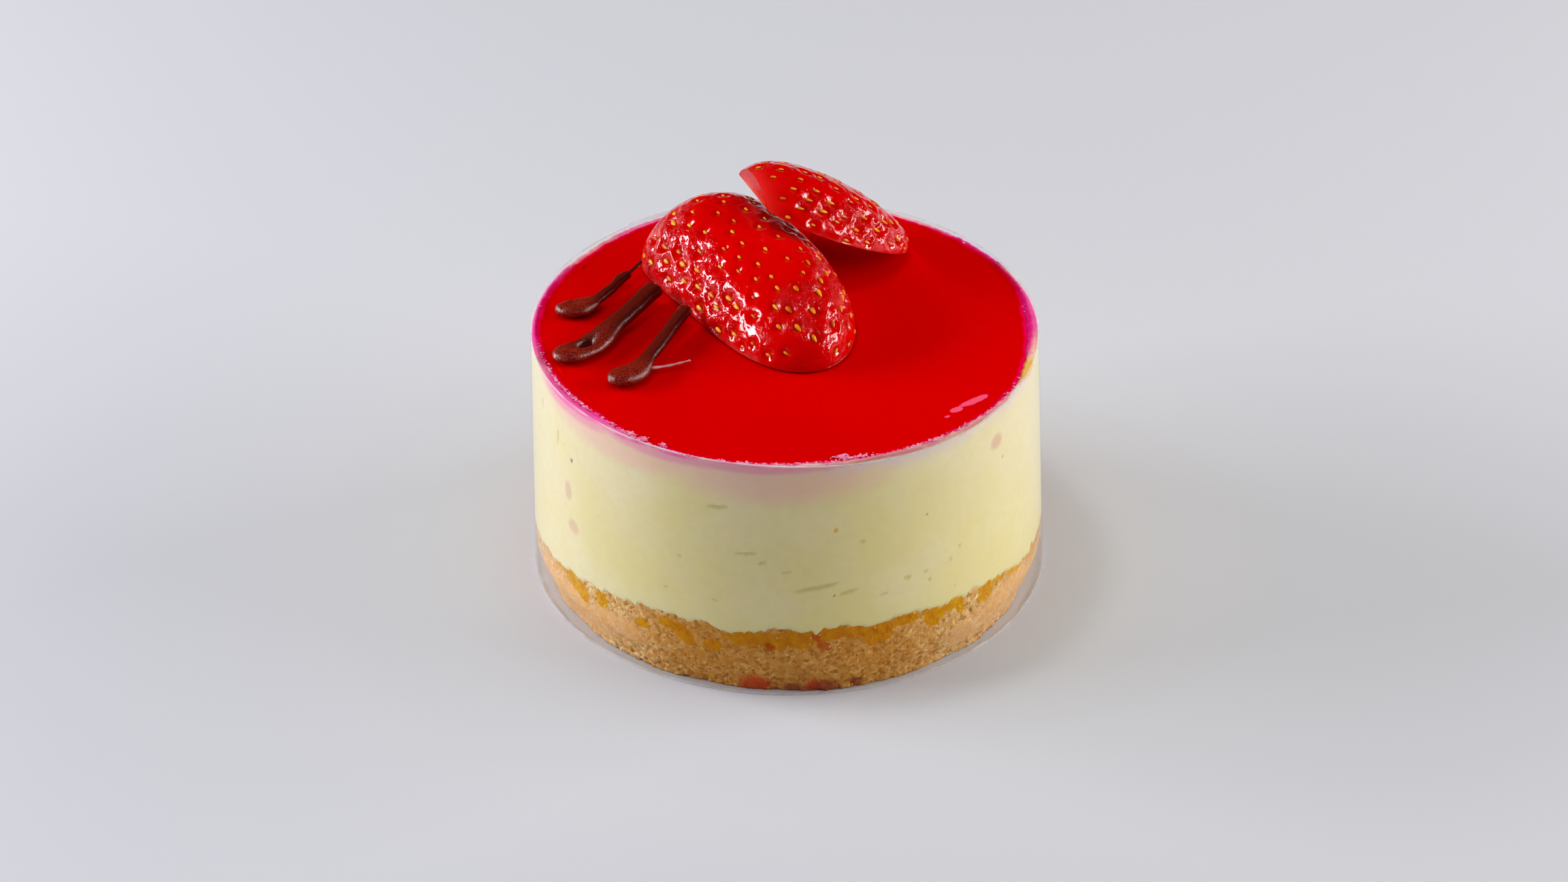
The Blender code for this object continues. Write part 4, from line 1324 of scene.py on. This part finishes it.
def makeStroke(number, stroke):
    route, heading, distance = strokeRoute(stroke)
    width, depth, taper = strokeSize(stroke, distance)
    distance = distance[:, None]
    floor, seed = jelly["top"] / mm, strokeMesh["seed"] + number
    turn = (np.arange(strokeMesh["sides"]) + 0.5) * fullTurn / strokeMesh["sides"]
    power = 2 / (2.1 + 0.9 * taper)
    sideways = squared(np.cos(turn), power) * 0.5 * width
    upward = squared(np.sin(turn), power) * 0.5 * depth
    dipAt, dipSide, dipLong, dipWide, dipDeep = stroke["dip"]
    hollow = np.exp(-((distance - dipAt) / dipLong) ** 2 - ((sideways - dipSide) / dipWide) ** 2)
    upward = upward - np.where(upward > 0, dipDeep * hollow, 0.0)
    across = np.stack([-np.sin(heading), np.cos(heading), np.zeros_like(heading)], axis=-1)[:, None, :]
    points = route[:, None, :] + across * sideways[:, :, None]
    points[:, :, 2] += upward
    rough = (roughNoise(points, 0.5, seed, 3) - 0.5) * 2 * strokeMesh["grain"]
    points[:, :, 2] += rough * np.clip(depth, 0.0, 1.0)
    lump = (softNoise(points, 1.8, seed + 5) - 0.5) * stroke["uneven"]
    points += across * (lump * np.clip(width, 0.0, 1.0))[:, :, None]
    points[:, :, 2] = np.maximum(points[:, :, 2], floor + strokeMesh["lowest"])
    if stroke["hole"]:   # the jelly shows through where the chocolate dips under its surface
        hole = stroke["hole"]
        gone = ((distance - dipAt) / (1.7 * hole)) ** 2 + ((sideways - dipSide) / hole) ** 2
        under = floor - np.where(upward > 0, 0.1, 0.2)
        points[:, :, 2] = np.where(gone < 1, under, points[:, :, 2])
    ends = np.array([points[0].mean(axis=0), points[-1].mean(axis=0)]) * mm
    # the upper left side of the section, painted lighter as light falling on it
    litSide = np.clip((np.cos(turn - 1.2) - 0.55) * 2.2, 0.0, 1.0)
    paints = {"bar": taper + 0 * sideways, "litSide": litSide + 0 * sideways, "hollow": hollow * (dipDeep > 1)}
    return tubePiece("chocolateStroke" + str(number), points * mm, ends, chocolateLook, paints)


def unit(vectors):
    return vectors / np.linalg.norm(vectors, axis=1, keepdims=True)


def makeThread():
    knots = np.array(thread["route"])
    fine = np.linspace(0, 1, thread["stations"])
    middle = np.stack([np.interp(fine, np.linspace(0, 1, len(knots)), column) for column in knots.T], axis=-1)
    for _ in range(thread["smoothing"]):
        middle[1:-1] = 0.5 * middle[1:-1] + 0.25 * (middle[:-2] + middle[2:])
    radius = thread["radius"] - thread["taper"] * fine + 0.04 * np.sin(fine * 27)
    radius[-1] = thread["tip"]
    way = unit(np.gradient(middle, axis=0))
    side = unit(np.cross(way, np.array([0.0, 0.0, 1.0])))
    rise = np.cross(side, way)
    turn = (np.arange(thread["sides"]) * fullTurn / thread["sides"])[:, None]
    outward = side[:, None, :] * np.cos(turn) + rise[:, None, :] * np.sin(turn)
    points = middle[:, None, :] + radius[:, None, None] * outward
    points[:, :, 2] = np.maximum(points[:, :, 2], jelly["top"] / mm + strokeMesh["lowest"])
    # the whole thread gets the painted sheen
    pale = np.ones(points.shape[:2])
    return tubePiece("chocolateThread", points * mm, middle[[0, -1]] * mm, chocolateLook, {"pale": pale}, 1.0)


for number, stroke in enumerate(strokes, start=1):
    piece = makeStroke(number, stroke)
    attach(piece, "root")
    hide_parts("chocolate_stroke_" + str(number))
chocolateThread = makeThread()
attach(chocolateThread, "root")
print("chocolate done")


# floor, light and camera

studio = {
    "distance": 862.36 * mm, "elevation": 32.87, "aim": (-0.808 * mm, 0.0, 20.236 * mm), "lens": 125.0,
    "sensor": 36.0, "nearest": 0.01, "floorReach": 3.0, "floorDrop": 0.0001, "lampAim": (0.0, 0.0, 0.025),
    "world": (1.0, 0.93, 0.85, 1.0), "worldStrength": 0.14,
}
# area lamps: place, size, power in watts, colour, and whether reflections show them
lamps = {
    "leftSoftbox": ((-0.64, 0.06, 0.28), (0.5, 0.12), 4.5, (0.97, 0.98, 1.0), True),
    "rightSoftbox": ((0.64, 0.02, 0.27), (0.66, 0.12), 4.1, (1.0, 0.98, 0.93), True),
    "topLamp": ((-0.18, 0.05, 0.75), (0.1, 0.1), 0.8, (1.0, 1.0, 1.0), False),
    "overheadFill": ((0.0, 0.0, 0.8), (1.2, 1.2), 2.2, (1.0, 0.97, 0.93), False),
    "backFill": ((0.0, 1.1, 0.16), (0.9, 0.2), 1.0, (1.0, 0.97, 0.95), False),
}


def makeFloor():
    reach, level = studio["floorReach"], -studio["floorDrop"]
    corners = [(x * reach, y * reach, level) for x, y in ((-1, -1), (1, -1), (1, 1), (-1, 1))]
    mesh = newMesh("floor", corners, [(0, 1, 2, 3)], {})
    mesh.materials.append(floorLook)
    return newObject("floor", mesh)


def aimAt(thing, place, target):
    thing.location = place
    thing.rotation_mode = "QUATERNION"
    thing.rotation_quaternion = (Vector(target) - Vector(place)).to_track_quat("-Z", "Y")


def makeLamps():
    for name, (place, size, power, colour, glossy) in lamps.items():
        lamp = bpy.data.lights.new(name, "AREA")
        lamp.shape = "RECTANGLE"
        lamp.size, lamp.size_y = size
        lamp.energy = power
        lamp.color = colour
        light = newObject(name, lamp)
        aimAt(light, place, studio["lampAim"])
        light.visible_camera = False
        light.visible_glossy = glossy


def makeWorld():
    world = bpy.data.worlds.new("studio")
    world.use_nodes = True
    back = world.node_tree.nodes["Background"]
    back.inputs["Color"].default_value = studio["world"]
    back.inputs["Strength"].default_value = studio["worldStrength"]
    world.cycles_visibility.glossy = False
    scene.world = world


def makeCamera():
    camera = bpy.data.cameras.new("camera")
    camera.lens = studio["lens"]
    camera.sensor_width = studio["sensor"]
    camera.clip_start = studio["nearest"]
    rise = math.radians(studio["elevation"])
    away = Vector((0.0, -math.cos(rise), math.sin(rise))) * studio["distance"]
    holder = newObject("camera", camera)
    aimAt(holder, Vector(studio["aim"]) + away, studio["aim"])
    scene.camera = holder


floor = makeFloor()
makeWorld()
makeLamps()
makeCamera()
scene.view_settings.view_transform = "Standard"
scene.view_settings.look = "None"
print("stage done")
